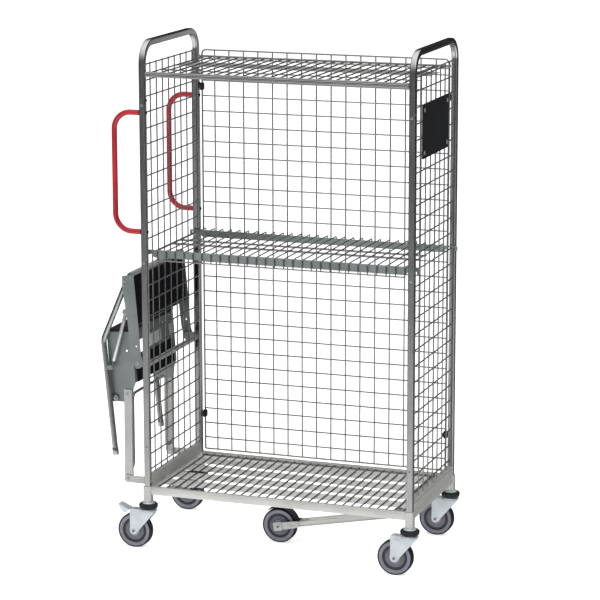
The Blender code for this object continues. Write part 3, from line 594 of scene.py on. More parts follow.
def back_clips():
    """Black plastic clips that hold the back panel's edge wires to the back posts."""
    edge_x = BACK[1].x - BACK_RIM_R
    depth = (BACK[0].y + BACK[1].y) / 2
    face = depth - 8.0
    button = [(0, face - 4.0), (7.5, face - 4.0), (9.0, face - 2.5), (9.0, face), (0, face)]
    shapes = []
    for side in (-1, 1):
        near, far = span(side, edge_x - 7, edge_x + 8)
        for z in (1581.0, 372.0):
            shapes.append(prism(fillet(rect(near, z - 14, far, z + 14), 6.5), "Y", face, depth + 5.0))
            shapes.append(lathe(button, "Y", (side * (edge_x - 1), 0, z), sides=24))
    piece("back_panel_clips", join(*shapes), "rubber", "cage", bevel=0.8)


def base_frame():
    low, high = node_box("base_frame")
    rail_low, rail_high = 198.0, high.z
    outer_y = high.y - 4.0
    socket = 14.0
    pocket = 11.3
    rails = []
    sockets = []
    beads = []
    for side in (-1, 1):
        near, far = span(side, outer_y - 16.0, outer_y)
        rails.append(prism(fillet(rect(near, rail_low, far, rail_high), 2.2), "X", -POST_X, POST_X))
        near, far = span(side, FACE_X - 20.0, FACE_X)
        rails.append(prism(fillet(rect(near, rail_low, far, rail_high), 2.2), "Y", -POST_Y, POST_Y))
        x = side * POST_X
        for face in (-1, 1):
            y = face * POST_Y
            block = fillet(rect(x - socket, y - socket, x + socket, y + socket), 3.0)
            hole = fillet(rect(x - pocket, y - pocket, x + pocket, y + pocket), 4.0)
            sockets.append(carve(prism(block, "Z", low.z, rail_high + 0.4),
                                 prism(hole, "Z", 192.0, rail_high + 9)))
            seam = x - side * socket
            bead = [(seam, y + face * 9.5, rail_low + 1), (seam, y + face * 9.9, rail_high - 1)]
            beads.append(wire(bead, 2.0, 1.5))
    piece("base_frame_rails", join(*rails), "rail", "cage", ["base_frame"])
    piece("corner_sockets", join(*sockets), "rail", "cage", bevel=0.5)
    piece("corner_welds", join(*beads), "bolt", "cage")


def side_rail(name, side):
    """Cross bar with a groove along its outer face and a slot near the front."""
    low, high = node_box(name)
    inner, outer = (low.x, high.x)[::side]
    groove = outer - side * 6.0
    section = [(inner, low.z), (outer, low.z), (outer, high.z - 17), (groove, high.z - 15),
               (groove, high.z - 6), (outer, high.z - 4), (outer, high.z), (inner, high.z)]
    near, far = span(side, -1, 7, inner)
    slot_cut = box((near, low.y + 28, low.z + 8), (far, low.y + 32, high.z - 10))
    shape = carve(prism(section, "Y", low.y, high.y), slot_cut)
    piece(name + "_bar", shape, "rail", "cage", [name], bevel=0.8)


def base_deck():
    low, high = node_box("base_deck")
    strips = []
    half = 35.5
    lip = 1.6
    foot = low.z + 1.0
    for y in (-141.0, -41.5, 58.0, 157.5):
        section = [(y - half, foot), (y - half + lip, foot), (y - half + lip, DECK_Z - 5.0 - lip),
                   (y + half - lip, DECK_Z - 5.0 - lip), (y + half - lip, foot), (y + half, foot),
                   (y + half, DECK_Z - 5.0), (y - half, DECK_Z - 5.0)]
        strips.append(prism(section, "X", low.x, high.x))
    # The strips take the deck finish, a brighter copy of the strip plate: painted light on their tops.
    piece("base_deck_strips", join(*strips), "deck", "cage", ["base_deck"], bevel=0.4)
    wires = []
    for k in range(30):
        x = DECK_PITCH * (k - 14.5)
        wires.append(rod((x, low.y, DECK_Z - WIRE_R), (x, high.y, DECK_Z - WIRE_R)))
    for y in (low.y + 3.2, high.y - 3.2):
        wires.append(rod((low.x + 5, y, DECK_Z - WIRE - 1.8), (high.x - 5, y, DECK_Z - WIRE - 1.8)))
    # The deck wires take a darker copy of the wire plate: painted shade.
    piece("base_deck_wires", join(*wires), "deck_wire", "cage", ["base_deck"])


def deck_end_plates():
    """Slotted plates under the deck wires at the ladder end, which brace the ladder's feet."""
    top = node_box("base_deck")[0].z - 0.2
    plates = []
    pads = []
    for y, near_x, far_x in ((-195.0, -425.0, -342.0), (-91.5, -422.0, -357.0), (8.2, -462.0, -369.0),
                             (107.7, -462.0, -421.0)):
        outline = fillet(mirrored([(near_x, y - 13), (far_x - 10, y - 13), (far_x, y - 5)], y), 2.0)
        plates.append(prism(outline, "Z", top - 1.2, top))
    for y, spots in ((8.2, (-424.0, -403.0, -382.0)), (-195.0, (-335.0, -319.0))):
        for x in spots:
            pads.append(prism(fillet(rect(x - 9, y - 11, x + 9, y + 11), 5.0), "Z", top, top + 2.0))
    piece("deck_end_plates", join(*plates), "strip", "cage")
    piece("deck_end_pads", join(*pads), "rubber", "cage")


def top_shelf():
    low, high = node_box("top_shelf_deck")
    wires = []
    top = high.z - WIRE_R
    for k in range(28):
        x = SHELF_PITCH * (k - 13.5) - 5.5
        x = min(max(x, low.x + WIRE_R), high.x - WIRE_R)
        wires.append(rod((x, low.y, top), (x, high.y, top)))
    under = top - WIRE + WELD
    for y in (low.y + 4.0, -113.0):
        wires.append(rod((low.x, y, under), (high.x, y, under)))
    piece("top_shelf_wires", join(*wires), "wire", "cage", ["top_shelf_deck"])
    edge = rod((low.x, high.y + 1.5, top + 3.0), (high.x, high.y + 1.5, top + 3.0), 4.0, 20)
    piece("top_shelf_back_rod", edge, "rod", "cage")
    strip_top = under + WIRE_R
    strips = []
    for near, far in ((-5.0, 112.0), (200.0, high.y)):
        strips.append(box((low.x, near, strip_top - 1.6), (high.x, far, strip_top)))
    piece("top_shelf_strips", join(*strips), "strip", "cage", bevel=0.3)
    low, high = node_box("top_shelf_front_rail")
    radius = (high.y - low.y) / 2
    y = (low.y + high.y) / 2
    rods = []
    for z in (high.z - radius, low.z + radius):
        rods.append(rod((low.x, y, z), (high.x, y, z), radius, 20))
    piece("top_shelf_front_rods", join(*rods), "rod", "cage", ["top_shelf_front_rail"])


def mid_shelf():
    low, high = node_box("mid_shelf_deck")
    strips = {name: node_box("mid_shelf_%s_strip" % name) for name in ("front", "back")}
    mid_y = {name: (ends[0].y + ends[1].y) / 2 for name, ends in strips.items()}
    shelf_z = high.z
    radius = 2.3
    top = shelf_z - radius
    face = mid_y["front"] - 1.2 - radius
    rear = mid_y["back"] + 3.2
    rod_z = strips["front"][0].z - 10.0
    wires = []
    for k in range(28):
        x = SHELF_PITCH * (k - 13.5) + 5.3
        x = min(max(x, low.x + radius), high.x - radius)
        path = [(x, face, rod_z), (x, face, top), (x, rear, top), (x, rear, top - 22.0)]
        wires.append(wire(path, 2.6, radius, (1, 0, 0), 8, 3))
    wires.append(rod((low.x + 2, face + 3.4, rod_z), (high.x - 2, face + 3.4, rod_z)))
    under = top - radius - WIRE_R + WELD
    for y in (-72.0, -58.0, 2.0, 14.0):
        wires.append(rod((low.x, y, under), (high.x, y, under)))
    piece("mid_shelf_wires", join(*wires), "wire", "cage", ["mid_shelf_deck"])
    half = 455.0
    lip = shelf_z - 14.5
    hook = lip - 12.5
    for name, (low, high) in strips.items():
        outline = [(-half, low.z), (half, low.z), (half + 12, lip), (POST_X + 12, lip), (POST_X + 12, hook),
                   (high.x, hook), (high.x, high.z), (half + 4, high.z)]
        other_end = [(-a, b) for a, b in outline[:1:-1]]
        soft = [0, 0, 3, 2, 2, 4, 5, 3]
        whole = fillet(outline + other_end, soft + soft[:1:-1], 4)
        whole = prism(whole, "Y", mid_y[name] - 1.0, mid_y[name] + 1.0)
        piece("mid_shelf_%s_strip_plate" % name, whole, "sheet", "cage",
              ["mid_shelf_%s_strip" % name], bevel=0.3)


def pull_handle(name):
    low, high = node_box(name)
    radius = (high.y - low.y) / 2
    y = (low.y + high.y) / 2
    reach = low.x + radius
    ends = (high.z - radius, low.z + radius)
    corners = ((high.x, y, ends[0]), (reach, y, ends[0]), (reach, y, ends[1]), (high.x, y, ends[1]))
    shape = sweep(bend_path(corners, HANDLE_BEND, 14), circle(radius, 28), (0, 1, 0))
    piece(name + "_tube", shape, "red", "cage", [name])
    ring = [(radius + 0.4, high.x - 1.5), (radius + 1.1, high.x - 1.0), (radius + 1.1, high.x),
            (radius + 0.4, high.x)]
    collars = [lathe(ring, "X", (0, y, z), closed=True, sides=32) for z in ends]
    piece(name + "_collars", join(*collars), "dark", "cage")


def label_plate():
    low, high = node_box("label_plate")
    outline = fillet(rect(low.y, low.z, high.y, high.z), 7.0, 6)
    piece("label_plate_sheet", prism(outline, "X", low.x, high.x), "black", "cage",
          ["label_plate"], bevel=0.5)
    heads = []
    for y in (low.y + 20, high.y - 20):
        for z in (low.z + 20, high.z - 20):
            heads.append(rivet("X", (high.x, y, z), 1, 7.5, 2.2, 1.6))
    piece("label_plate_rivets", join(*heads), "grey", "cage")


# ---- castors --------------------------------------------------------------------------
# Hub rings as (radius, depth from the hub's face); the deeper rings get darker colours in make_materials, as
# painted shade.
HUB_RINGS = {
    "rim": [(57.3, 3.0), (56.4, 2.2), (46.8, 2.2), (45.2, 3.4)],
    "groove": [(45.1, 7.4), (36.5, 8.2), (35.0, 8.0)],
    "web": [(34.9, 5.6), (32.0, 4.6), (24.5, 4.2), (23.8, 3.4), (19.3, 2.8)],
    "boss": [(19.2, 1.4), (17.6, 0.2), (16.4, 0.0), (4.4, 0.0)],
}


def wheel(prefix, body):
    """Grey stepped hub and black tyre; both are turned about the axle."""
    low, high = node_box(prefix + "_tyre")
    centre = Vector(((low.x + high.x) / 2, (low.y + high.y) / 2, WHEEL_R))
    half = (high.y - low.y) / 2
    shoulder = [(57.4, 3.0), (57.6, 0.8), (WHEEL_R - 3.2, 0.0), (WHEEL_R - 0.9, 1.6), (WHEEL_R, 4.5)]
    tread = mirrored([(r, d - half) for r, d in shoulder])
    piece(prefix + "_tread", lathe(tread, "Y", centre, True, 72), "tyre", body,
          [prefix + "_tyre"], angle=50)
    for name, sides in HUB_RINGS.items():
        profile = mirrored([(r, half + 1.0 - d) for r, d in sides])
        piece(prefix + "_" + name, lathe(profile, "Y", centre, True, 72), "hub_" + name, body,
              [prefix + "_hub"], angle=40)
    return centre


def axle(name, body):
    """Hollow rivet: two dished flanges on a shank."""
    low, high = node_box(name)
    x = (low.x + high.x) / 2
    end = [(0, 2.6), (2.6, 2.2), (3.0, 0.3), (4.6, 0.0), (6.2, 1.2), (6.4, 3.8), (3.9, 4.0)]
    profile = mirrored([(r, low.y + d) for r, d in end], (low.y + high.y) / 2)
    piece(name + "_pin", lathe(profile, "Y", (x, 0, WHEEL_R), sides=28), "bolt", body, [name])
    # Dark discs in the dished ends stand for the rivet's hollow bore: painted shade inside it.
    hollows = [disc(2.9, "Y", low.y + 1.6, low.y + 2.5, (x, WHEEL_R), 20),
               disc(2.9, "Y", high.y - 2.5, high.y - 1.6, (x, WHEEL_R), 20)]
    piece(name + "_pin_hollows", join(*hollows), "dark", body, [name])


def castor(tag):
    prefix = "castor_" + tag
    swivel = prefix + "_swivel"
    spin = wheel(prefix, prefix + "_wheel")
    x, y = spin.x + TRAIL, spin.y
    axle(prefix + "_axle", swivel)

    low, high = node_box(prefix + "_head")
    ring_low = low.z + 6.0
    ring_high = 165.6
    outer = (high.x - low.x) / 2
    ring = [(19.5, ring_high), (27.5, ring_high), (31.2, ring_high - 2.6), (outer - 0.6, ring_high - 5.4),
            (outer, ring_high - 7.4), (outer - 1.6, ring_high - 9.2), (outer - 1.2, ring_low + 4.6),
            (31.4, ring_low + 1.4), (28.0, ring_low), (17.5, ring_low)]
    piece(prefix + "_bumper", lathe(ring, "Z", (x, y, 0), True), "rubber", "cage",
          [prefix + "_head"], angle=50)

    low, high = node_box(prefix + "_fork")
    back = low.x
    top = high.z
    cup = [(0, 182), (6, 182), (6, 170.8), (13.5, 170.7), (15.0, 169.0), (15.0, 167.6), (21.0, 167.2),
           (22.5, 165.6), (22.5, 162.0), (16.6, 160.0), (16.6, top + 1.2), (0, top + 1.2)]
    piece(prefix + "_race", lathe(cup, "Z", (x, y, 0)), "zinc", "cage")

    sheet = 3.0
    half = (high.y - low.y) / 2
    arch = [(y - half, 40), (y - half, top), (y + half, top), (y + half, 40),
            (y + half - sheet, 40), (y + half - sheet, top - sheet), (y - half + sheet, top - sheet),
            (y - half + sheet, 40)]
    shell = prism(fillet(arch, [0, 6.0, 6.0, 0, 0, 3.4, 3.4, 0], 6), "X", back - 2, high.x + 2)
    side_view = [(back, top + 4), (back, 66), (spin.x - 11, 54), (spin.x - 4, low.z), (spin.x + 4, low.z),
                 (spin.x + 10, 54), (high.x - 3, top - 8), (high.x, top + 4)]
    side_view = fillet(side_view, [0, 9, 8, 5, 5, 9, 3, 0], 5)
    plan = mirrored([(back - 4, y - half - 2), (x + 20, y - half - 2), (high.x, y - 13)], y)
    plan = fillet(plan, [0, 6, 10, 10, 6, 0], 6)
    shell = carve(shell, prism(side_view, "Y", y - 60, y + 60), prism(plan, "Z", 30, top + 6),
                  keep="INTERSECT")
    hole = disc(4.3, "Y", y - 60, y + 60, (spin.x, WHEEL_R), 28)
    window = disc(7.0, "Z", top - 12, top + 6, (spin.x + 6, y), 28)
    raised = [(16.9, top - 1.0), (25.0, top - 1.0), (25.0, top + 1.2), (23.6, top + 2.4), (18.2, top + 2.4),
              (16.9, top + 1.4)]
    shell = join(carve(shell, hole, window), lathe(raised, "Z", (x, y, 0), True))
    piece(prefix + "_fork_shell", shell, "zinc", swivel, [prefix + "_fork"],
          bevel=0.45, angle=30)
    if prefix + "_brake_pedal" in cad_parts:
        brake_pedal(prefix, prefix + "_brake_pedal")


def brake_pedal(prefix, node):
    """Ribbed foot plate between two cheeks."""
    low, high = node_box(node)
    root = high.x
    base = low.z
    tip = Vector((low.x, high.z))
    heel = Vector((root - 1, base + 13.1))
    plate = fillet([tip, heel, (root - 3, base + 10.6), tip + Vector((1.2, -2.7))], [1, 1.5, 1, 1], 4)
    shapes = [prism(plate, "Y", low.y + 0.4, high.y - 0.4)]
    cheek = [tip + Vector((1.2, -1.4)), (root, base + 12.5), (root - 10, base + 3.0), (root - 23, base),
             tip + Vector((4.2, -9.6))]
    cheek = fillet(cheek, [1.5, 2.5, 3, 8, 3], 4)
    thick = 2.4
    for start in (low.y, high.y - thick):
        shapes.append(prism(cheek, "Y", start, start + thick))
    for k in range(4):
        rib = tip.lerp(heel, 0.12 + 0.25 * k)
        shapes.append(rod((rib.x, low.y + 4, rib.y - 1.7), (rib.x, high.y - 4, rib.y - 1.7), 2.0, 12))
    piece(prefix + "_pedal_plate", join(*shapes), "zinc", prefix + "_pedal", [node],
          bevel=0.35)


# ---- sprung centre wheel --------------------------------------------------------------
def centre_wheel():
    spin = wheel("centre_wheel", "centre_wheel")
    axle("centre_wheel_axle", "centre_arm")
    low, high = node_box("centre_wheel_arm")
    mid_y = (low.y + high.y) / 2
    outer = high.y - mid_y
    inner = outer - 6.0
    pivot = Vector(ARM_PIVOT)
    hub = Vector((spin.x, WHEEL_R))
    slope = (pivot - hub).normalized()
    normal = Vector((-slope.y, slope.x))
    length = (pivot - hub).length

    def slanted(points):
        """Points given along the arm from the hub and across it."""
        return [hub + slope * a + normal * b for a, b in points]

    bars = []
    plates = []
    heads = []
    for side in (-1, 1):
        bar = fillet(slanted(rect(70, -9, length + 12, 9)), [2, 8, 8, 2], 5)
        bars.append(prism(bar, "Y", *span(side, outer - 5.0, outer - 3.6, mid_y)))
        for edge in (-1, 1):
            lip = slanted(rect(70, edge * 9, length + 6, edge * 6.4))
            bars.append(prism(lip, "Y", *span(side, inner, outer - 0.6, mid_y)))
        fork = slanted([(18, -13.5), (76, -12), (92, 0), (76, 12), (18, 13.5)])
        fork = prism(fillet(fork, [3, 10, 14, 10, 3], 5), "Y", *span(side, outer - 2.4, outer - 0.3, mid_y))
        hole = disc(3.6, "Y", *span(side, outer - 9, outer + 3, mid_y), slanted([(52, 0)])[0], 24)
        plates.append(carve(fork, hole))
        square = fillet(slanted(rect(-17, -15, 15.6, 15)), 3.0, 4)
        plates.append(prism(square, "Y", *span(side, outer - 3.4, outer, mid_y)))
        lining = slanted(rect(12, -10, 60, 10))
        bars.append(prism(lining, "Y", *span(side, inner + 0.2, outer - 3.8, mid_y)))
        heads.append(bolt_head("Y", (pivot.x, mid_y + side * (outer + 2.2), pivot.y), side, 5.0, 3.6))
    for start, stop in ((length - 70, length - 50), (84, 100)):
        web = fillet(slanted(rect(start, -6, stop, 6)), 2.0, 4)
        bars.append(prism(web, "Y", mid_y - inner - 1, mid_y + inner + 1))
    piece("centre_wheel_arm_bars", join(*bars), "rail", "centre_arm",
          ["centre_wheel_arm"], bevel=0.4)
    piece("centre_wheel_arm_plates", join(*plates), "strip", "centre_arm",
          ["centre_wheel_arm"], bevel=0.4)
    piece("centre_wheel_arm_bolts", join(*heads), "bolt", "centre_arm")

    low, high = node_box("centre_wheel_guard")
    angles = [math.radians(a) for a in range(125, 19, -5)]

    def arc(radius, turns):
        return [(spin.x + radius * math.cos(a), WHEEL_R + radius * math.sin(a)) for a in turns]

    outline = arc(69.6, angles) + [(high.x, 89.5), (high.x - 3, 83.0)] + arc(66.6, angles[::-1])
    piece("centre_wheel_guard_sheet", prism(outline, "Y", low.y, high.y), "black", "centre_arm",
          ["centre_wheel_guard"], bevel=0.4)


def keep_cad(node, finish):
    """Keep a CAD node's own shape, with a better material and softened edges."""
    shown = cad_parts[node]
    shown.data.materials.clear()
    shown.data.materials.append(KIT[finish])
    soften(shown, 0.5, 35)


# ---- ladder ---------------------------------------------------------------------------
LEAN = math.radians(4.0)
UPPER_PIVOT = Vector((-521.0, 664.0))
LOWER_PIVOT = Vector((-578.0, 232.0))
LINK = Vector((-45.0, 290.0))         # from a step's pivot to its pin on the legs
SPRING_TOP = Vector((-571.0, 845.0))
SPRING_FOOT = Vector((-630.0, 636.0))
LEG_Y = 208.0
ALONG = Vector((-math.sin(LEAN), math.cos(LEAN)))
OUTWARD = Vector((math.cos(LEAN), math.sin(LEAN)))


def on_step(pivot, u, v):
    """A point u along a folded step from its pivot and v outward from it."""
    return tuple(pivot + ALONG * u + OUTWARD * v)


def slab(pivot, us, vs, ys, corner=0.0):
    """A block given by its ranges along the step, outward from it, and along Y."""
    outline = [on_step(pivot, u, v) for u, v in rect(us[0], vs[0], us[1], vs[1])]
    if corner:
        outline = fillet(outline, corner, 4)
    return prism(outline, "Y", *ys)


def upper_step():
    outer = node_box("upper_step_frame")[1].y
    inner = outer - 3.2
    bar = [(-575, 972), (-532, 981), (-530, 955), (-516, 802), (-509, 700), (-500, 668),
           (-502, 656), (-512, 646), (-526, 645), (-536, 656), (-545, 700), (-557, 812), (-575, 930)]
    bar = fillet(bar, [4, 4, 6, 20, 20, 6, 6, 6, 6, 8, 20, 6, 10], 4)
    leg_top = UPPER_PIVOT + LINK
    shapes = []
    heads = []
    for side in (-1, 1):
        near, far = span(side, inner, outer)
        hole = disc(3.2, "Y", near - 2, far + 2, on_step(UPPER_PIVOT, 60, 0), 24)
        shapes.append(carve(prism(bar, "Y", near, far), hole))
        face = side * outer
        heads.append(bolt_head("Y", (leg_top.x, face, leg_top.y), side, 4.8, 3.4))
        heads.append(bolt_head("Y", (leg_top.x - 1.5, face, leg_top.y - 13.5), side, 3.6, 2.6))
        heads.append(bolt_head("Y", (UPPER_PIVOT.x, face + side * 0.2, UPPER_PIVOT.y), side, 5.2, 2.6))
        heads.append(disc(6.0, "Y", *span(side, 218.5, inner), leg_top, 24))
    across = (-inner, inner)
    shapes.append(slab(UPPER_PIVOT, (132, 320), (3.0, 5.0), across))
    shapes.append(slab(UPPER_PIVOT, (317.6, 320), (-13, 4.4), across, 0.8))
    shapes.append(slab(UPPER_PIVOT, (132, 134.4), (-13, 4.4), across, 0.8))
    shapes.append(slab(UPPER_PIVOT, (306, 320), (-13, -11), across, 0.6))
    piece("upper_step_sheet", join(*shapes), "sheet", "upper_step",
          ["upper_step_frame"], bevel=0.4)
    low, high = node_box("upper_tread")
    tread = slab(UPPER_PIVOT, (136, 308), (5.3, 7.5), (low.y, high.y), 0.8)
    piece("upper_tread_pad", tread, "grit", "upper_step", ["upper_tread"], bevel=0.6)
    lip = slab(UPPER_PIVOT, (308.5, 320.2), (-13, 7.2), (low.y, high.y), 0.8)
    piece("upper_step_nose", lip, "strip", "upper_step", bevel=0.5)
    tab = fillet([(-557, 826), (-570, 832), (-579, 842), (-574, 852), (-557, 856)], [0, 5, 5, 5, 0], 4)
    heads.append(prism(tab, "Y", -inner, -inner + 2.4))
    heads.append(disc(3.4, "Y", -inner + 1, -203.0, SPRING_TOP, 20))
    heads.append(bolt_head("Y", (SPRING_TOP.x, -inner + 0.2, SPRING_TOP.y), -1, 3.6, 2.8))
    piece("upper_step_bolts", join(*heads), "bolt", "upper_step")


def lower_step():
    x, z = LOWER_PIVOT
    leg_pin = LOWER_PIVOT + LINK
    cheek_outer = 191.0
    pan_low = on_step(LOWER_PIVOT, 345, 54)
    pan_high = on_step(LOWER_PIVOT, 530, 54)
    lip_high = on_step(LOWER_PIVOT, 530, -34)
    cheek = [(-640, 509), (-570, 509), (-560, 524), (-556, 560), pan_low, pan_high,
             (lip_high[0] - 7.0, lip_high[1])]
    cheek = fillet(cheek, [5, 8, 14, 10, 4, 4, 4], 4)
    post = [(x - 15, z - 8), (x - 8, z - 15), (x + 8, z - 15), (x + 15, z - 8), (x + 17, 556), (x - 13, 556)]
    post = fillet(post, [7, 7, 7, 7, 2, 2], 4)
    thick = 2.0
    shapes = []
    uprights = []
    heads = []
    for side in (-1, 1):
        near, far = span(side, cheek_outer - 2.6, cheek_outer)
        hole = disc(4.0, "Y", near - 2, far + 2, (-580, 695), 24)
        shapes.append(carve(prism(cheek, "Y", near, far), hole))
        uprights.append(prism(post, "Y", *span(side, 195.0 - thick, 195.0)))
        for edge, fold in ((-15.0, thick), (15.0, -thick)):
            flange = [(x + edge, z + 2), (x + edge + fold, z + 2), (x + edge + 2.0 + fold, 540),
                      (x + edge + 2.0, 540)]
            uprights.append(prism(flange, "Y", *span(side, 184.5, 194.0)))
        heads.append(bolt_head("Y", (x, side * 202.2, z), side, 4.6, 3.2))
        heads.append(disc(4.0, "Y", *span(side, 190, 201), leg_pin, 20))
        heads.append(bolt_head("Y", (-579, side * 195.0, 540), side, 3.6, 2.4))
        heads.append(bolt_head("Y", (leg_pin.x, side * 201.5, leg_pin.y), side, 4.2, 2.8))
    across = (-cheek_outer + 0.4, cheek_outer - 0.4)
    plate = slab(LOWER_PIVOT, (346, 529), (51.6, 53.5), across)
    cuts = [slab(LOWER_PIVOT, (442, 488), (45, 60), ys) for ys in ((-184.0, 70.0), (145.0, 184.0))]
    for u, y in ((505, 91.0), (518, 153.0)):
        spot = on_step(LOWER_PIVOT, u, 53)
        cuts.append(disc(4.5, "X", spot[0] - 12, spot[0] + 12, (y, spot[1]), 20))
    shapes.append(carve(plate, *cuts))
    shapes.append(slab(LOWER_PIVOT, (346, 348.2), (34, 53), across, 0.6))
    shapes.append(slab(LOWER_PIVOT, (526.6, 529), (-30, 53), across, 0.6))
    piece("lower_step_sheet", join(*shapes), "sheet", "lower_step",
          ["lower_step_frame"], bevel=0.4)
    piece("lower_step_uprights", join(*uprights), "strip", "lower_step",
          ["lower_step_frame"], bevel=0.4)
    corners = [(x + 1.0, *spot) for spot in ((-193, 262), (-150, 262), (-150, 530), (150, 530), (150, 262),
                                             (193, 262))]
    hoop = sweep(bend_path(corners, 22.0, 8), circle(5.0, 16), (1, 0, 0))
    piece("lower_step_hoop", hoop, "leg", "lower_step")
    tread = slab(LOWER_PIVOT, (345.5, 433.5), (54.3, 56.5), (-168, 168), 0.8)
    piece("lower_tread_pad", tread, "grit", "lower_step", ["lower_tread"], bevel=0.6)
    nosing = slab(LOWER_PIVOT, (530.3, 542), (-34, 56.5), (-191, 191), 4.5)
    piece("lower_nosing_pad", nosing, "rubber", "lower_step", ["lower_step_nosing"],
          bevel=1.0)
    piece("lower_step_bolts", join(*heads), "bolt", "lower_step")


def legs():
    top = UPPER_PIVOT + LINK
    bend = Vector((-660.0, 735.0))
    foot = Vector((-620.0, 318.0))
    start = top + (top - bend).normalized() * 13.0
    stop = foot + (bend - foot).normalized() * 3.0
    down = (foot - bend).normalized()
    radius = 9.7
    cap = [(8.6, -0.2), (10.2, -0.8), (11.0, -2.0), (11.0, -25.8), (10.6, -26.8), (10.1, -27.0)]
    lug_x, lug_z = LOWER_PIVOT + LINK
    lug = mirrored([(lug_x - 20, lug_z - 12), (lug_x + 5, lug_z - 12), (lug_x + 11, lug_z - 5)], lug_z)
    lug = fillet(lug, 3.0, 4)
    ear_x, ear_z = SPRING_FOOT
    ear = fillet([(ear_x - 16, ear_z - 8), (ear_x + 4, ear_z - 8), (ear_x + 8, ear_z),
                  (ear_x + 4, ear_z + 8), (ear_x - 16, ear_z + 8)], 3.0, 4)
    for tag, side in (("front", -1), ("back", 1)):
        y = side * LEG_Y
        path = bend_path([(p.x, y, p.y) for p in (start, bend, stop)], 60.0, 14)
        tube = carve(sweep(path, circle(radius, 28), (0, 1, 0)), disc(5.2, "Y", y - 20, y + 20, top, 28))
        near, far = span(side, 193.4, 200.6)
        plates = [carve(prism(lug, "Y", near, far), disc(4.6, "Y", near - 5, far + 5, (lug_x, lug_z), 24))]
        if side < 0:
            plates.append(prism(ear, "Y", y - radius - 0.4, y - 6.6))
            plates.append(disc(3.0, "Y", y - radius - 1.2, y + 5.5, SPRING_FOOT, 20))
        piece("ladder_leg_%s_tube" % tag, join(tube, *plates), "leg", "ladder_legs",
              ["ladder_leg_" + tag])
        ferrule = turned_on(Vector((foot.x, y, foot.y)), Vector((down.x, 0, down.y)), cap, 32)
        piece("ladder_foot_%s_cap" % tag, ferrule, "leg", "ladder_legs",
              ["ladder_foot_" + tag], angle=50)


def gas_spring():
    y = -LEG_Y
    top = Vector((SPRING_TOP.x, y, SPRING_TOP.y))
    foot = Vector((SPRING_FOOT.x, y, SPRING_FOOT.y))
    ahead = (foot - top).normalized()
    length = (foot - top).length
    barrel = turned_on(top, ahead, [(3.4, 5), (3.6, 11), (6.0, 12), (6.5, 13.5), (6.5, 190), (6.0, 192.5),
                                    (4.4, 193.8)])
    barrel = carve(barrel, turned_on(top, ahead, [(3.1, 24), (3.1, 200)]))
    eye = lathe(mirrored([(3.9, -4), (7.0, -4), (7.5, -3)]), "Y", top, True, 28)
    piece("gas_spring_barrel", join(barrel, eye), "barrel", "gas_spring_barrel",
          ["gas_spring_cylinder"], angle=40)
    shaft = turned_on(top, ahead, [(2.9, 40), (2.9, length - 10), (3.6, length - 9), (3.6, length - 5)], 24)
    eye = lathe(mirrored([(3.4, -4), (5.6, -4), (6.0, -3.4)]), "Y", foot, True, 28)
    piece("gas_spring_ram", join(shaft, eye), "bolt", "gas_spring_ram",
          ["gas_spring_rod"], angle=40)


# ---- studio ---------------------------------------------------------------------------
def floor():
    mesh = bpy.data.meshes.new("floor")
    half = 60.0
    mesh.from_pydata([(a, b, 0) for a, b in rect(-half, -half, half, half)], [], [(0, 1, 2, 3)])
    ground = bpy.data.objects.new("floor", mesh)
    bpy.context.collection.objects.link(ground)
    pale = Surface("pale_floor", (0.90, 0.90, 0.90), 0.0, 0.9)
    cloud = pale.noise(0.6, 3.0)
    pale.colour(pale.mix(pale.spread(cloud, 0.0, 1.0), (0.89, 0.89, 0.89), (0.91, 0.91, 0.91)))
    pale.set("Emission Color", (1.0, 1.0, 1.0, 1.0))
    pale.set("Emission Strength", 0.60)
    mesh.materials.append(pale.material)
    ground.visible_glossy = False


def studio_light():
    """A dome that is bright overhead and dim at the horizon and behind the trolley."""
    world = bpy.data.worlds.new("studio")
    bpy.context.scene.world = world
    world.use_nodes = True
    sky = Graph(world.node_tree)
    parts = sky.node("ShaderNodeSeparateXYZ")
    sky.link(sky.node("ShaderNodeTexCoord").outputs["Generated"], parts.inputs["Vector"])
    ramp = sky.node("ShaderNodeValToRGB")
    stops = ((0.0, 1.0), (0.335, 1.0), (0.365, 0.80), (0.375, 0.55), (0.39, 0.28), (0.405, 0.14),
             (0.44, 0.08), (0.575, 0.12), (0.675, 0.22), (0.75, 0.42), (0.85, 0.75), (1.0, 1.2))
    while len(ramp.color_ramp.elements) < len(stops):
        ramp.color_ramp.elements.new(0.5)
    for element, (spot, value) in zip(ramp.color_ramp.elements, stops):
        element.position = spot
        element.color = (value, value, value * 1.01, 1.0)
    sky.link(sky.spread(parts.outputs["Z"], 0.0, 1.0, -1.0, 1.0), ramp.inputs["Fac"])
    behind = sky.spread(parts.outputs["Y"], 1.0, 0.12, 0.05, 0.70, interpolation_type="SMOOTHSTEP")
    above = sky.spread(parts.outputs["Z"], 0.0, 1.0, 0.42, 0.75)
    lift = sky.node("ShaderNodeMath", operation="MAXIMUM")
    sky.link(behind, lift.inputs[0])
    sky.link(above, lift.inputs[1])
    dome = sky.mix(1.0, ramp.outputs["Color"], lift.outputs["Value"], "MULTIPLY")
    lighting = sky.tree.nodes["Background"]
    lighting.inputs["Strength"].default_value = 1.25
    sky.link(dome, lighting.inputs["Color"])
    seen = sky.node("ShaderNodeBackground")
    seen.inputs["Color"].default_value = (0.97, 0.97, 0.97, 1.0)
    chooser = sky.node("ShaderNodeMixShader")
    sky.link(sky.node("ShaderNodeLightPath").outputs["Is Camera Ray"], chooser.inputs["Fac"])
    sky.link(lighting.outputs["Background"], chooser.inputs[1])
    sky.link(seen.outputs["Background"], chooser.inputs[2])
    sky.link(chooser.outputs["Shader"], sky.tree.nodes["World Output"].inputs["Surface"])


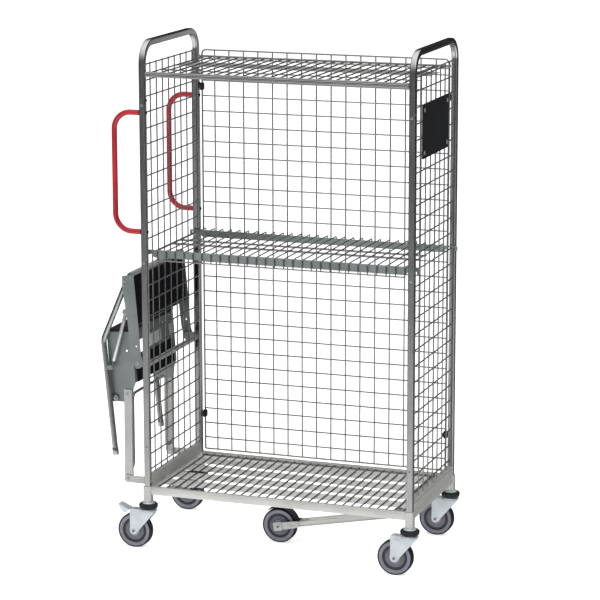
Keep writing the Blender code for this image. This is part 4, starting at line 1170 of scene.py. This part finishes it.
def soft_box(name, place, target, size, power):
    data = bpy.data.lights.new(name, "AREA")
    data.shape = "RECTANGLE"
    data.size = size[0]
    data.size_y = size[1]
    data.energy = power
    lamp = bpy.data.objects.new(name, data)
    bpy.context.collection.objects.link(lamp)
    lamp.location = place
    lamp.rotation_euler = (Vector(target) - Vector(place)).to_track_quat("-Z", "Y").to_euler()
    return lamp


def camera():
    """Eye, heading, pitch and roll of the view; the field is set for a square picture."""
    eye = Vector((2990.76 * MM + CAGE_X, -8381.49 * MM, 2788.94 * MM))
    heading = math.radians(19.644)
    pitch = math.radians(12.109)
    roll = math.radians(-0.1076)
    level = Vector((math.cos(heading), math.sin(heading), 0.0))
    away = Vector((math.sin(heading), -math.cos(heading), 0.0))
    back = away * math.cos(pitch) + Vector((0.0, 0.0, math.sin(pitch)))
    right = level * math.cos(roll) + back.cross(level) * math.sin(roll)
    up = back.cross(right)
    data = bpy.data.cameras.new("view")
    data.sensor_width = 36.0
    data.lens = 156.28
    data.clip_end = 200.0
    made = bpy.data.objects.new("view", data)
    bpy.context.collection.objects.link(made)
    made.matrix_world = Matrix((right, up, back)).transposed().to_4x4()
    made.location = eye
    bpy.context.scene.camera = made


# ---- build ----------------------------------------------------------------------------
KIT = make_materials()
camera()
floor()
studio_light()
key = soft_box("key", (-3.5, -5.0, 5.0), (0, 0, 0.8), (3.0, 3.0), 170.0)
soft_box("fill", (4.5, -2.0, 4.5), (0, 0, 0.8), (2.5, 2.5), 25.0)
key.visible_glossy = False
card = soft_box("card", (0.66, 3.0, 0.8), (0.66, 0.0, 0.8), (0.9, 2.4), 3.0)
card.visible_camera = False
bpy.context.scene.view_settings.view_transform = "Standard"

for hand, direction in (("left", -1), ("right", 1)):
    end_hoop("end_hoop_" + hand, direction)
    side_panel("side_mesh_" + hand, direction)
    side_rail("side_rail_" + hand, direction)
back_panel()
back_clips()
base_frame()
base_deck()
deck_end_plates()
top_shelf()
mid_shelf()
pull_handle("pull_handle_front")
pull_handle("pull_handle_back")
label_plate()
for corner in ("front_left", "front_right", "back_left", "back_right"):
    castor(corner)
centre_wheel()
keep_cad("centre_wheel_hanger", "rail")
keep_cad("ladder_cross_rail", "strip")
keep_cad("ladder_bracket_front", "strip")
keep_cad("ladder_bracket_back", "strip")
upper_step()
lower_step()
legs()
gas_spring()
